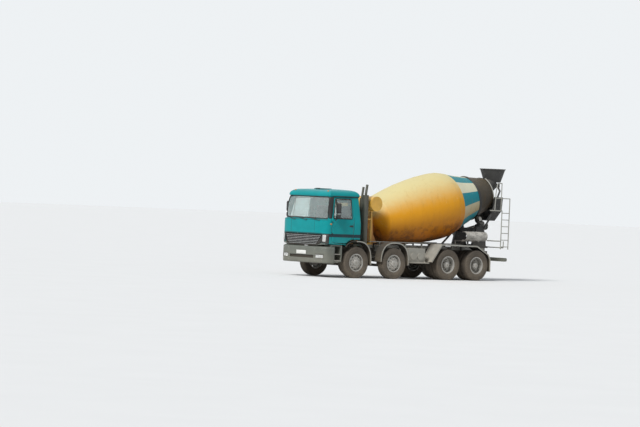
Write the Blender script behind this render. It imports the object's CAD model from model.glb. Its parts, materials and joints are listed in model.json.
"""A four-axle concrete mixer truck, dressed for rendering.

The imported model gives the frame. This script adds the skins, treads, trim and finishes, then the
floor, the light and the camera. Lengths are metres. X runs forward, Y to the left and Z up, and x is
counted from the first axle until a mesh is built, which then moves to the truck's own frame.
"""

import json
import logging
import math
from dataclasses import dataclass
from enum import Enum

import bpy
import numpy as np
from mathutils import Euler, Matrix, Vector
from mathutils.geometry import delaunay_2d_cdt

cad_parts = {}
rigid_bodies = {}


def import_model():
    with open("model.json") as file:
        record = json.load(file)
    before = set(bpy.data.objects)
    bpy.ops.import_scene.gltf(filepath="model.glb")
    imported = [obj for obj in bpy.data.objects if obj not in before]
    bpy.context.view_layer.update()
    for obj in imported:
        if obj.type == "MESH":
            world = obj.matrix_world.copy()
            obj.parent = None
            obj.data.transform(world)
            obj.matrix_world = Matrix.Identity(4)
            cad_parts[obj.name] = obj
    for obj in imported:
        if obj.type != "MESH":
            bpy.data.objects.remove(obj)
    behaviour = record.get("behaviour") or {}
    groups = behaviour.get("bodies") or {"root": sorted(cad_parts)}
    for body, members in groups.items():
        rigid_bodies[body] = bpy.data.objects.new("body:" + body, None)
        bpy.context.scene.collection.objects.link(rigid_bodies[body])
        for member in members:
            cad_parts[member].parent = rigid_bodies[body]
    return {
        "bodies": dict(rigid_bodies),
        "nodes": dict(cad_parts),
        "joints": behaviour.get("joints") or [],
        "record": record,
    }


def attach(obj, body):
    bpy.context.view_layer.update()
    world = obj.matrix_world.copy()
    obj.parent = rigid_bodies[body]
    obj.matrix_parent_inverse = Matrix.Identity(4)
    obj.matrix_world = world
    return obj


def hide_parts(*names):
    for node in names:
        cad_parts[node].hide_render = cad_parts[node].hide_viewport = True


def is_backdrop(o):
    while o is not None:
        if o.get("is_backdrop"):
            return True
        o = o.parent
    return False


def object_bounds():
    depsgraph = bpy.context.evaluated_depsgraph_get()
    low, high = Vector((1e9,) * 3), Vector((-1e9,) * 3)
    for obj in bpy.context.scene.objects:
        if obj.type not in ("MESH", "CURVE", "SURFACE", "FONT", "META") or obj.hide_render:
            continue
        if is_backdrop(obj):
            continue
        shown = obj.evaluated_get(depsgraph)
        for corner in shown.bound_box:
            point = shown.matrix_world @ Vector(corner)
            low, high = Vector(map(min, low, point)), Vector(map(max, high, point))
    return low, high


LOG = logging.getLogger("mixer_truck")

AXLE_1_X = 3.136
AXLES = (0.0, -1.7, -4.2, -5.55)
FIRST_DRIVEN = 2
HUB_Z = 0.535
SIDES = ((1, "l"), (-1, "r"))
Y_AXIS, Z_AXIS = 1, 2

Colour = tuple[float, float, float]
Point = tuple[float, float, float]
Span = tuple[float, float]
Number = np.ndarray | float
Outline = np.ndarray | list
Socket = bpy.types.NodeSocket
Piece = bpy.types.Object


# Shader graphs


class Graph:
    """Adds nodes to one tree, with inputs given as constants or as sockets."""

    def __init__(self, tree: bpy.types.NodeTree) -> None:
        """Keep the tree that the nodes go into."""
        self.tree = tree

    def add(self, kind: str, values: dict | None = None, **settings: object) -> bpy.types.Node:
        """Add a node.

        Args:
            kind: The node's type name.
            values: Its inputs by name or number, as constants or sockets.
            settings: Properties of the node.

        Returns:
            The new node.
        """
        node = self.tree.nodes.new(kind)
        for key, value in settings.items():
            setattr(node, key, value)
        for key, value in (values or {}).items():
            socket = node.inputs[key]
            if isinstance(value, Socket):
                self.tree.links.new(value, socket)
            elif socket.type == "RGBA" and len(value) == 3:
                socket.default_value = (*value, 1.0)
            else:
                socket.default_value = value
        return node

    def group(self, tree: bpy.types.NodeTree, **values: float) -> bpy.types.Node:
        """Add a shared group with its number inputs."""
        return self.add("ShaderNodeGroup", values, node_tree=tree)

    def surface(self, values: dict) -> None:
        """Finish a material with one principled surface."""
        shader = self.add("ShaderNodeBsdfPrincipled", values)
        self.add("ShaderNodeOutputMaterial", {0: shader.outputs[0]})

    def math(self, operation: str, *values: object, clamp: bool = False) -> Socket:
        """Return the result of one maths operation."""
        node = self.add("ShaderNodeMath", dict(enumerate(values)), operation=operation, use_clamp=clamp)
        return node.outputs[0]

    def times(self, one: object, two: object, clamp: bool = False) -> Socket:
        """Return the product of two values."""
        return self.math("MULTIPLY", one, two, clamp=clamp)

    def ramp(self, value: object, low: float, high: float, start: float = 0.0, end: float = 1.0) -> Socket:
        """Return start at low, end at high and a smooth change between them."""
        node = self.add("ShaderNodeMapRange", {0: value, 1: low, 2: high, 3: start, 4: end},
                        interpolation_type="SMOOTHSTEP")
        return node.outputs[0]

    def mix(self, factor: object, one: object, two: object) -> Socket:
        """Return a colour between two, by a factor."""
        node = self.add("ShaderNodeMix", {0: factor, 6: one, 7: two}, data_type="RGBA")
        return node.outputs[2]

    def blend(self, factor: object, one: object, two: object) -> Socket:
        """Return a number between two, by a factor."""
        node = self.add("ShaderNodeMix", {0: factor, 2: one, 3: two}, data_type="FLOAT")
        return node.outputs[0]

    def noise(self, place: object, scale: float, detail: float = 4.0, rough: float = 0.6) -> Socket:
        """Return a cloudy value from 0 to 1."""
        node = self.add("ShaderNodeTexNoise", {
            "Vector": place, "Scale": scale, "Detail": detail, "Roughness": rough})
        return node.outputs[0]

    def spots(self, place: object, scale: float) -> Socket:
        """Return the distance to the nearest of many scattered points."""
        node = self.add("ShaderNodeTexVoronoi", {"Vector": place, "Scale": scale, "Randomness": 1.0})
        return node.outputs["Distance"]

    def place(self, scale: Point = (1, 1, 1), location: Point = (0, 0, 0), rotation: Point = (0, 0, 0),
              kind: str = "POINT") -> Socket:
        """Return the object's own coordinates, mapped."""
        source = self.add("ShaderNodeTexCoord").outputs["Object"]
        node = self.add("ShaderNodeMapping", {
            0: source, "Location": location, "Rotation": rotation, "Scale": scale}, vector_type=kind)
        return node.outputs[0]


def shared_group(name: str, inputs: dict[str, float],
                 outputs: tuple[str, ...]) -> tuple[bpy.types.NodeTree, Graph, bpy.types.NodeOutputs]:
    """Make an empty shader group with named number sockets.

    Args:
        name: The group's name.
        inputs: Each input and its default.
        outputs: The names of the outputs.

    Returns:
        The group, its graph and the sockets that give its inputs.
    """
    group = bpy.data.node_groups.new(name, "ShaderNodeTree")
    for key, value in inputs.items():
        socket = group.interface.new_socket(name=key, in_out="INPUT", socket_type="NodeSocketFloat")
        socket.default_value = value
    for key in outputs:
        group.interface.new_socket(name=key, in_out="OUTPUT", socket_type="NodeSocketFloat")
    graph = Graph(group)
    return group, graph, graph.add("NodeGroupInput").outputs


class Effects:
    """The shader groups that several finishes share."""

    def __init__(self) -> None:
        """Build each group once."""
        self.dust = self._dust()
        self.streaks = self._streaks()
        self.splash = self._splash()
        self.chips = self._chips()
        self.grain = self._grain()

    @staticmethod
    def _dust() -> bpy.types.NodeTree:
        """Road dust: full below Low, gone above High, broken by clouds, and more on faces that look up."""
        group, graph, given = shared_group(
            "road_dust", {"Low": 0.3, "High": 1.6, "Patch": 2.5, "Settled": 0.3}, ("Mask",))
        place = graph.place()
        height = graph.add("ShaderNodeSeparateXYZ", {0: place}).outputs[2]
        cloud = graph.noise(place, given["Patch"], 6.0, 0.65)
        uneven = graph.times(graph.math("SUBTRACT", cloud, 0.5), 0.9)
        fall = graph.ramp(graph.math("ADD", height, uneven), given["High"], given["Low"])
        normal = graph.add("ShaderNodeNewGeometry").outputs["Normal"]
        up = graph.add("ShaderNodeSeparateXYZ", {0: normal}).outputs[2]
        settled = graph.times(graph.ramp(up, 0.2, 0.95), given["Settled"])
        speck = graph.ramp(graph.noise(place, 38.0, 3.0), 0.3, 0.7, 0.55, 1.0)
        broken = graph.times(fall, graph.ramp(cloud, 0.25, 0.7, 0.45, 1.0))
        total = graph.times(graph.math("MAXIMUM", broken, settled), speck, clamp=True)
        graph.add("NodeGroupOutput", {"Mask": total})
        return group

    @staticmethod
    def _streaks() -> bpy.types.NodeTree:
        """Rain streaks: noise drawn out along Z, kept where a wide cloud allows it."""
        group, graph, given = shared_group("rain_streaks", {"Scale": 9.0}, ("Mask",))
        drawn = graph.noise(graph.place(scale=(1.0, 1.0, 0.07)), given["Scale"], 5.0, 0.7)
        cloud = graph.noise(graph.place(), 1.3, 3.0)
        thin = graph.ramp(drawn, 0.48, 0.72)
        mask = graph.times(thin, graph.ramp(cloud, 0.35, 0.65), clamp=True)
        graph.add("NodeGroupOutput", {"Mask": mask})
        return group

    @staticmethod
    def _splash() -> bpy.types.NodeTree:
        """Dried cement: round spots of several sizes, and crusts where a cloud passes the amount."""
        group, graph, given = shared_group("cement_splash", {"Amount": 0.3}, ("Mask", "Height"))
        place = graph.place()
        cloud = graph.noise(place, 2.1, 5.0, 0.7)
        rough = graph.noise(place, 21.0, 6.0, 0.75)
        edge = graph.math("SUBTRACT", 1.0, given["Amount"])
        uneven = graph.math("ADD", cloud, graph.times(rough, 0.5))
        crust = graph.ramp(graph.math("SUBTRACT", uneven, graph.math("ADD", edge, 0.16)), 0.0, 0.12)
        near = graph.ramp(graph.math("ADD", cloud, given["Amount"]), 0.6, 1.0)
        big = graph.times(graph.ramp(graph.spots(place, 16.0), 0.24, 0.16), near)
        small = graph.times(graph.ramp(graph.spots(place, 47.0), 0.26, 0.18), near)
        mask = graph.math("MAXIMUM", crust, graph.math("MAXIMUM", big, small), clamp=True)
        graph.add("NodeGroupOutput", {"Mask": mask, "Height": graph.times(mask, rough)})
        return group

    @staticmethod
    def _chips() -> bpy.types.NodeTree:
        """Worn paint: small sharp-edged patches where two noises are both high."""
        group, graph, given = shared_group("worn_chips", {"Amount": 0.2}, ("Mask",))
        place = graph.place()
        fine = graph.noise(place, 26.0, 8.0, 0.7)
        wide = graph.noise(place, 3.1, 3.0, 0.5)
        both = graph.math("ADD", fine, graph.times(wide, 0.6))
        edge = graph.math("SUBTRACT", 1.16, graph.times(given["Amount"], 0.4))
        level = graph.math("SUBTRACT", both, edge)
        graph.add("NodeGroupOutput", {"Mask": graph.ramp(level, 0.0, 0.03)})
        return group

    @staticmethod
    def _grain() -> bpy.types.NodeTree:
        """Fine surface height: cast grain over slow waves."""
        group, graph, given = shared_group("surface_grain", {"Scale": 60.0, "Waves": 0.4}, ("Height",))
        place = graph.place()
        fine = graph.noise(place, given["Scale"], 6.0, 0.6)
        slow = graph.noise(place, 2.4, 2.0, 0.4)
        waves = graph.times(slow, given["Waves"])
        graph.add("NodeGroupOutput", {"Height": graph.math("ADD", fine, waves)})
        return group


DUST: Colour = (0.34, 0.27, 0.18)
CEMENT: Colour = (0.42, 0.4, 0.36)
PALE_CEMENT: Colour = (0.62, 0.59, 0.53)
WORN_ROUGH = 0.75
WORN_METAL = 0.2
RAIN_ROUGH = 0.7
DUST_ROUGH = 0.9
CEMENT_ROUGH = 0.95
CEMENT_RELIEF = 7.0
COAT_ROUGH = 0.12


def new_material(name: str) -> tuple[bpy.types.Material, Graph]:
    """Make a material with an empty shader graph."""
    material = bpy.data.materials.new(name)
    material.use_nodes = True
    material.node_tree.nodes.clear()
    return material, Graph(material.node_tree)


@dataclass(frozen=True)
class Finish:
    """A paint, metal, rubber or plastic with its dirt and its wear."""

    name: str
    colour: Colour
    rough: float = 0.5
    metal: float = 0.0
    coat: float = 0.0
    mottle: float = 0.12
    dust: float = 0.5
    dust_low: float = 0.3
    dust_high: float = 1.7
    settled: float = 0.35
    streak: float = 0.15
    splash: float = 0.0
    chips: float = 0.0
    under: Colour = (0.1, 0.07, 0.05)
    grain: float = 60.0
    depth: float = 0.0006
    dust_colour: Colour = DUST
    gloss: float = 0.5

    def base(self, graph: Graph) -> Socket:
        """Return the clean colour, lighter and darker in clouds."""
        cloud = graph.ramp(graph.noise(graph.place(), 3.3, 5.0, 0.65), 0.3, 0.7)
        dark = tuple(c * (1 - self.mottle) for c in self.colour)
        light = tuple(min(1.0, c * (1 + self.mottle)) for c in self.colour)
        return graph.mix(cloud, dark, light)

    def build(self, effects: Effects) -> bpy.types.Material:
        """Make the material.

        Args:
            effects: The shared shader groups.

        Returns:
            A material whose colour, roughness and bump carry dirt and wear.
        """
        material, graph = new_material(self.name)
        colour = self.base(graph)
        rough = self.rough
        metal = self.metal
        if self.chips > 0:
            worn = graph.group(effects.chips, Amount=self.chips).outputs["Mask"]
            colour = graph.mix(worn, colour, self.under)
            rough = graph.blend(worn, rough, WORN_ROUGH)
            if self.metal > 0:
                metal = graph.blend(worn, self.metal, WORN_METAL)
        if self.streak > 0:
            part = graph.times(graph.group(effects.streaks).outputs["Mask"], self.streak)
            colour = graph.mix(part, colour, tuple(c * 0.45 + 0.02 for c in self.colour))
            rough = graph.blend(part, rough, RAIN_ROUGH)
        dust = graph.group(effects.dust, Low=self.dust_low, High=self.dust_high, Settled=self.settled)
        film = graph.times(dust.outputs["Mask"], self.dust, clamp=True)
        colour = graph.mix(film, colour, self.dust_colour)
        rough = graph.blend(film, rough, DUST_ROUGH)
        height = graph.group(effects.grain, Scale=self.grain).outputs["Height"]
        if self.splash > 0:
            crust = graph.group(effects.splash, Amount=self.splash)
            tone = graph.mix(graph.noise(graph.place(), 30.0, 4.0), CEMENT, PALE_CEMENT)
            colour = graph.mix(crust.outputs["Mask"], colour, tone)
            rough = graph.blend(crust.outputs["Mask"], rough, CEMENT_ROUGH)
            relief = graph.times(crust.outputs["Height"], CEMENT_RELIEF)
            height = graph.math("ADD", height, relief)
        bump = graph.add("ShaderNodeBump", {"Height": height, "Distance": self.depth, "Strength": 1.0})
        graph.surface({
            "Base Color": colour, "Roughness": rough, "Metallic": metal, "Normal": bump.outputs[0],
            "Specular IOR Level": self.gloss, "Coat Weight": self.coat, "Coat Roughness": COAT_ROUGH})
        return material


@dataclass(frozen=True)
class CabPaint(Finish):
    """Cab paint with the dark stripe low on its sides."""

    stripe: Colour = (0.012, 0.035, 0.045)
    stripe_low: float = 1.375
    stripe_high: float = 1.485
    stripe_edge: float = 0.003
    stripe_out: Span = (1.02, 1.03)

    def base(self, graph: Graph) -> Socket:
        """Return the paint with its stripe, by height on the side walls."""
        place = graph.add("ShaderNodeSeparateXYZ", {0: graph.place()})
        low = graph.ramp(place.outputs[2], self.stripe_low, self.stripe_low + self.stripe_edge)
        high = graph.ramp(place.outputs[2], self.stripe_high + self.stripe_edge, self.stripe_high)
        side = graph.ramp(graph.math("ABSOLUTE", place.outputs[1]), *self.stripe_out)
        mask = graph.times(graph.times(low, high), side)
        return graph.mix(mask, Finish.base(self, graph), self.stripe)


@dataclass(frozen=True)
class DrumPaint(Finish):
    """Drum paint: a pale film on top, a pale band with patches, stains and a crusted cone."""

    seam: Point = (0.0, 0.0, 0.0)
    tilt: float = 0.2129
    pale: Colour = (0.64, 0.55, 0.27)
    deep: Colour = (0.38, 0.105, 0.002)
    band: Colour = (0.62, 0.6, 0.44)
    patch: Colour = (0.004, 0.2, 0.24)
    crust: Colour = (0.03, 0.024, 0.017)
    dry_crust: Colour = (0.075, 0.062, 0.045)
    band_grime: Colour = (0.3, 0.2, 0.06)
    stain: Colour = (0.11, 0.045, 0.012)
    band_start: float = 3.27
    band_end: float = 4.27
    band_edge: float = 0.006
    crust_start: Span = (4.29, 4.31)
    patches: int = 7
    patch_width: float = 26.0
    patch_middle: float = 81.5
    patch_edge: float = 0.25

    def base(self, graph: Graph) -> Socket:
        """Return the drum's colours, by distance along its axis and angle round it."""
        local = graph.add("ShaderNodeSeparateXYZ", {0: graph.place(
            location=self.seam, rotation=(0.0, -math.pi / 2 + self.tilt, 0.0), kind="TEXTURE")})
        cloud = graph.math("SUBTRACT", graph.noise(graph.place(), 5.0, 5.0, 0.7), 0.5)
        wobble = graph.times(cloud, 0.5)
        squares = [graph.math("POWER", local.outputs[i], 2.0) for i in (0, 1)]
        radius = graph.math("SQRT", graph.math("ADD", *squares))
        height = graph.math("DIVIDE", local.outputs[0], graph.math("MAXIMUM", radius, 0.05))
        level = graph.math("ADD", height, graph.times(wobble, 0.5))
        paint = graph.mix(graph.ramp(level, 0.25, -0.95), self.colour, self.deep)
        paint = graph.mix(graph.ramp(level, 0.1, 0.98), paint, self.pale)
        return self._marks(graph, paint, local, level)

    def _marks(self, graph: Graph, paint: Socket, local: bpy.types.Node, level: Socket) -> Socket:
        """Lay the band, its patches, the stains and the crusted cone over the paint.

        Args:
            graph: The material's graph.
            paint: The plain paint colour.
            local: The drum's own coordinates, split.
            level: How far up the drum a point is, from -1 to 1.

        Returns:
            The finished colour.
        """
        along = local.outputs[2]
        angle = graph.math("DEGREES", graph.math("ARCTAN2", local.outputs[1], local.outputs[0]))
        pitch = 360.0 / self.patches
        turned = graph.math("PINGPONG", graph.math("ADD", angle, 720.0 - self.patch_middle), pitch / 2)
        half = self.patch_width / 2
        inside = graph.ramp(turned, half + self.patch_edge, half - self.patch_edge)
        past_start = graph.ramp(along, self.band_start - self.band_edge, self.band_start + self.band_edge)
        before_end = graph.ramp(along, self.band_end + self.band_edge, self.band_end - self.band_edge)
        in_band = graph.times(past_start, before_end)
        pale_band = graph.mix(graph.ramp(level, 0.5, -0.9), self.band, self.band_grime)
        paint = graph.mix(in_band, paint, pale_band)
        paint = graph.mix(graph.times(in_band, inside), paint, self.patch)
        spread = graph.noise(graph.place(scale=(1.0, 1.0, 0.6)), 3.2, 8.0, 0.75)
        low = graph.times(graph.ramp(level, -0.15, -0.75), graph.ramp(spread, 0.46, 0.62))
        paint = graph.mix(graph.times(low, 0.8), paint, self.stain)
        tone = graph.mix(graph.noise(graph.place(), 9.0, 8.0, 0.8), self.crust, self.dry_crust)
        return graph.mix(graph.ramp(along, *self.crust_start), paint, tone)


@dataclass(frozen=True)
class Clear:
    """Window glass or a lamp's lens."""

    name: str
    colour: Colour
    rough: float = 0.03
    through: float = 0.85
    ior: float = 1.5
    waves: float = 3.0
    depth: float = 0.0004

    def build(self, effects: Effects) -> bpy.types.Material:
        """Make the glass, with a thin film of dust in its colour and roughness."""
        material, graph = new_material(self.name)
        film = graph.ramp(graph.noise(graph.place(), 4.0, 7.0, 0.7), 0.42, 0.85, 0.0, 0.35)
        grain = graph.group(effects.grain, Scale=self.waves).outputs["Height"]
        bump = graph.add("ShaderNodeBump", {"Height": grain, "Distance": self.depth})
        graph.surface({
            "Base Color": graph.mix(film, self.colour, DUST), "Normal": bump.outputs[0],
            "Roughness": graph.blend(film, self.rough, 0.5), "IOR": self.ior,
            "Transmission Weight": self.through})
        return material


class Look(Enum):
    """The truck's finishes."""

    TEAL = CabPaint(
        "cab_teal", (0.001, 0.245, 0.255), rough=0.34, gloss=0.2, mottle=0.06, dust=0.12, dust_low=0.9,
        dust_high=1.6, settled=0.15, streak=0.12, chips=0.05, under=(0.03, 0.06, 0.06), depth=0.0003)
    DRUM = DrumPaint(
        "drum_orange", (0.68, 0.3, 0.012), rough=0.5, gloss=0.2, mottle=0.06, dust=0.22, dust_low=0.9,
        dust_high=1.8, settled=0.22, streak=0.25, splash=0.1, depth=0.0011, grain=24.0,
        dust_colour=(0.62, 0.55, 0.36), seam=(AXLE_1_X - 1.8, 0.0, 1.985))
    ORANGE = Finish(
        "mixer_orange", (0.5, 0.2, 0.012), rough=0.45, coat=0.2, dust=0.5, dust_high=2.0, streak=0.4,
        splash=0.1, chips=0.25, under=(0.12, 0.05, 0.02))
    YELLOW = Finish(
        "tank_yellow", (0.64, 0.36, 0.045), rough=0.4, coat=0.3, dust=0.35, streak=0.3, splash=0.05,
        chips=0.1)
    BLACK = Finish(
        "black_plastic", (0.016, 0.016, 0.016), rough=0.55, dust=0.55, dust_high=1.5, depth=0.0004,
        grain=160.0)
    RUBBER = Finish(
        "seal_rubber", (0.01, 0.01, 0.01), rough=0.65, dust=0.3, dust_high=1.4, depth=0.0002)
    TYRE = Finish(
        "tyre_rubber", (0.03, 0.027, 0.024), rough=0.85, dust=0.85, dust_low=0.2, dust_high=2.2,
        settled=0.5, streak=0.0, splash=0.06, depth=0.001, grain=90.0, dust_colour=(0.19, 0.15, 0.105))
    FRAME = Finish(
        "frame_black", (0.022, 0.021, 0.02), rough=0.6, dust=0.75, dust_high=1.9, splash=0.12, chips=0.25,
        under=(0.11, 0.05, 0.03), dust_colour=(0.2, 0.165, 0.12))
    GREY = Finish(
        "fender_grey", (0.3, 0.295, 0.26), rough=0.55, dust=0.5, dust_high=1.5, streak=0.35, splash=0.08,
        chips=0.12, under=(0.09, 0.07, 0.05))
    BUMPER = Finish(
        "bumper_grey", (0.105, 0.12, 0.104), rough=0.5, coat=0.1, dust=0.35, dust_low=0.4, dust_high=1.4,
        streak=0.3, chips=0.1)
    SILVER = Finish(
        "rim_silver", (0.46, 0.45, 0.42), rough=0.42, metal=0.35, dust=0.5, dust_low=0.1, dust_high=1.6,
        streak=0.0, chips=0.22, under=(0.13, 0.09, 0.06), dust_colour=(0.26, 0.22, 0.16))
    STEEL = Finish(
        "bare_steel", (0.33, 0.32, 0.3), rough=0.38, metal=0.85, dust=0.45, dust_high=1.8, chips=0.2)
    CRUST = Finish(
        "cement_crust", (0.34, 0.325, 0.29), rough=0.9, dust=0.3, splash=0.45, streak=0.3, depth=0.004,
        grain=30.0, mottle=0.3)
    HOPPER = Finish(
        "hopper_dark", (0.04, 0.039, 0.036), rough=0.7, dust=0.35, splash=0.2, streak=0.5, chips=0.3,
        under=(0.1, 0.055, 0.03), depth=0.002, grain=34.0)
    STACK = Finish(
        "stack_olive", (0.085, 0.084, 0.066), rough=0.6, metal=0.3, dust=0.4, streak=0.5, chips=0.2,
        under=(0.13, 0.06, 0.03))
    SEAT = Finish(
        "cab_cloth", (0.028, 0.032, 0.038), rough=0.95, dust=0.1, streak=0.0, depth=0.0015, grain=320.0)
    TRIM = Finish(
        "cab_trim", (0.055, 0.055, 0.055), rough=0.75, dust=0.1, streak=0.0, depth=0.0006, grain=200.0)
    CHROME = Finish(
        "slat_chrome", (0.55, 0.56, 0.55), rough=0.22, metal=0.9, dust=0.3, dust_high=1.6, streak=0.1)
    WHITE = Finish(
        "plate_white", (0.7, 0.7, 0.66), rough=0.4, dust=0.2, dust_low=0.2, dust_high=1.2, streak=0.15)
    GLASS = Clear("cab_window", (0.8, 0.9, 0.88))
    LENS = Clear("lamp_lens", (0.92, 0.93, 0.9), rough=0.08, through=0.55)
    AMBER = Clear("lamp_amber", (0.8, 0.26, 0.02), rough=0.12, through=0.3)
    RED = Clear("lamp_red", (0.5, 0.02, 0.01), rough=0.12, through=0.2)
    MIRROR = Finish(
        "mirror_face", (0.75, 0.77, 0.78), rough=0.05, metal=1.0, dust=0.1, streak=0.05, depth=0.0)


MADE: dict[Look, bpy.types.Material] = {}


# Shapes


CLEAR_OF_EDGES = 0.4
SAME_PLACE = 1e-6
CLOSE = 1e-5
TINY = 1e-9
LARGEST_SET_BACK = 0.45


def rounded(points: Outline, radius: float, steps: int = 5, closed: bool = True) -> np.ndarray:
    """Round the corners of a path.

    Each corner becomes the curve (1 - t) ** 2 * start + 2 t (1 - t) * corner + t ** 2 * end between two
    points that are set back from it by the radius.

    Args:
        points: The corner points, in two or three dimensions.
        radius: How far each corner is set back.
        steps: Points on each corner.
        closed: Whether the path returns to its start.

    Returns:
        The rounded path.
    """
    points = np.asarray(points, float)
    before = np.roll(points, 1, axis=0)
    after = np.roll(points, -1, axis=0)
    back = before - points
    ahead = after - points
    reach_back = np.linalg.norm(back, axis=1)
    reach_ahead = np.linalg.norm(ahead, axis=1)
    set_back = np.minimum(radius, LARGEST_SET_BACK * np.minimum(reach_back, reach_ahead))[:, None]
    start = points + back / reach_back[:, None] * set_back
    end = points + ahead / reach_ahead[:, None] * set_back
    t = np.linspace(0, 1, steps)[None, :, None]
    curve = (1 - t) ** 2 * start[:, None] + 2 * t * (1 - t) * points[:, None] + t ** 2 * end[:, None]
    if closed:
        return curve.reshape(-1, points.shape[1])
    inner = curve[1:-1].reshape(-1, points.shape[1])
    return np.vstack([points[:1], inner, points[-1:]])


def resampled(loop: np.ndarray, step: float, closed: bool = True) -> np.ndarray:
    """Split each edge of a path into equal parts no longer than a step."""
    loop = np.asarray(loop, float)
    ends = np.roll(loop, -1, axis=0) if closed else loop[1:]
    starts = loop if closed else loop[:-1]
    parts = []
    for start, end in zip(starts, ends):
        count = max(1, int(math.ceil(np.linalg.norm(end - start) / step)))
        parts.append(start + (end - start) * (np.arange(count) / count)[:, None])
    if not closed:
        parts.append(loop[-1:])
    return np.vstack(parts)


def inside_loop(points: np.ndarray, loop: np.ndarray) -> np.ndarray:
    """Say which points lie in a closed outline, by counting the edges to their right."""
    x, y = points[:, 0:1], points[:, 1:2]
    x0, y0 = loop[:, 0][None], loop[:, 1][None]
    x1, y1 = np.roll(x0, -1, axis=1), np.roll(y0, -1, axis=1)
    spans = (y0 > y) != (y1 > y)
    safe = np.where(y1 == y0, 1.0, y1 - y0)
    crossing = (x1 - x0) * (y - y0) / safe + x0
    return (np.sum(spans & (x < crossing), axis=1) % 2) == 1


def in_sheet(points: np.ndarray, loops: list[np.ndarray]) -> np.ndarray:
    """Say which points lie in the first outline and in none of the others."""
    inside = inside_loop(points, loops[0])
    for loop in loops[1:]:
        inside &= ~inside_loop(points, loop)
    return inside


def flat_mesh(outline: np.ndarray, holes: list[np.ndarray], step: float,
              creases: tuple[float, ...] = ()) -> tuple[np.ndarray, np.ndarray]:
    """Cover an outline with triangles that leave its holes open.

    Args:
        outline: The outer loop, in two dimensions.
        holes: The inner loops.
        step: The spacing of points inside and on the loops.
        creases: Heights at which edges run straight across.

    Returns:
        The points and the triangles.
    """
    loops = [resampled(loop, step) for loop in [outline, *holes]]
    low, high = outline.min(0), outline.max(0)
    across, up = (np.arange(low[i], high[i], step) + step / 2 for i in (0, 1))
    grid = np.stack(np.meshgrid(across, up), axis=-1).reshape(-1, 2)
    lines = [resampled(np.array([(low[0], z), (high[0], z)]), step, closed=False)
             for z in creases if low[1] < z < high[1]]
    edge_points = np.vstack(loops + lines)
    grid = grid[in_sheet(grid, loops)]
    if len(grid):
        nearest = np.min(np.linalg.norm(grid[:, None] - edge_points[None], axis=2), axis=1)
        grid = grid[nearest > CLEAR_OF_EDGES * step]
    points = np.vstack([edge_points, grid])
    edges = []
    start = 0
    for line, closed in [(loop, 1) for loop in loops] + [(line, 0) for line in lines]:
        numbers = list(range(start, start + len(line)))
        edges.extend(zip(numbers, numbers[1:] + numbers[:closed]))
        start += len(line)
    corners = [Vector(p) for p in points.tolist()]
    found, _, faces, _, _, _ = delaunay_2d_cdt(corners, edges, [], 0, SAME_PLACE)
    found = np.array([tuple(v) for v in found], float)
    faces = np.array(faces, int)
    faces = faces[in_sheet(found[faces].mean(axis=1), loops)]
    one, two, three = (found[faces[:, i]] for i in range(3))
    a, b = two - one, three - one
    area = a[:, 0] * b[:, 1] - a[:, 1] * b[:, 0]
    faces[area < 0] = faces[area < 0][:, ::-1]
    return found, faces[np.abs(area) > TINY]


def new_object(name: str, data: bpy.types.ID) -> Piece:
    """Make an object and link it to the scene."""
    made = bpy.data.objects.new(name, data)
    bpy.context.scene.collection.objects.link(made)
    return made


def modify(piece: Piece, name: str, kind: str, **settings: object) -> None:
    """Add a modifier with its settings."""
    modifier = piece.modifiers.new(name, kind)
    for key, value in settings.items():
        setattr(modifier, key, value)


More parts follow.
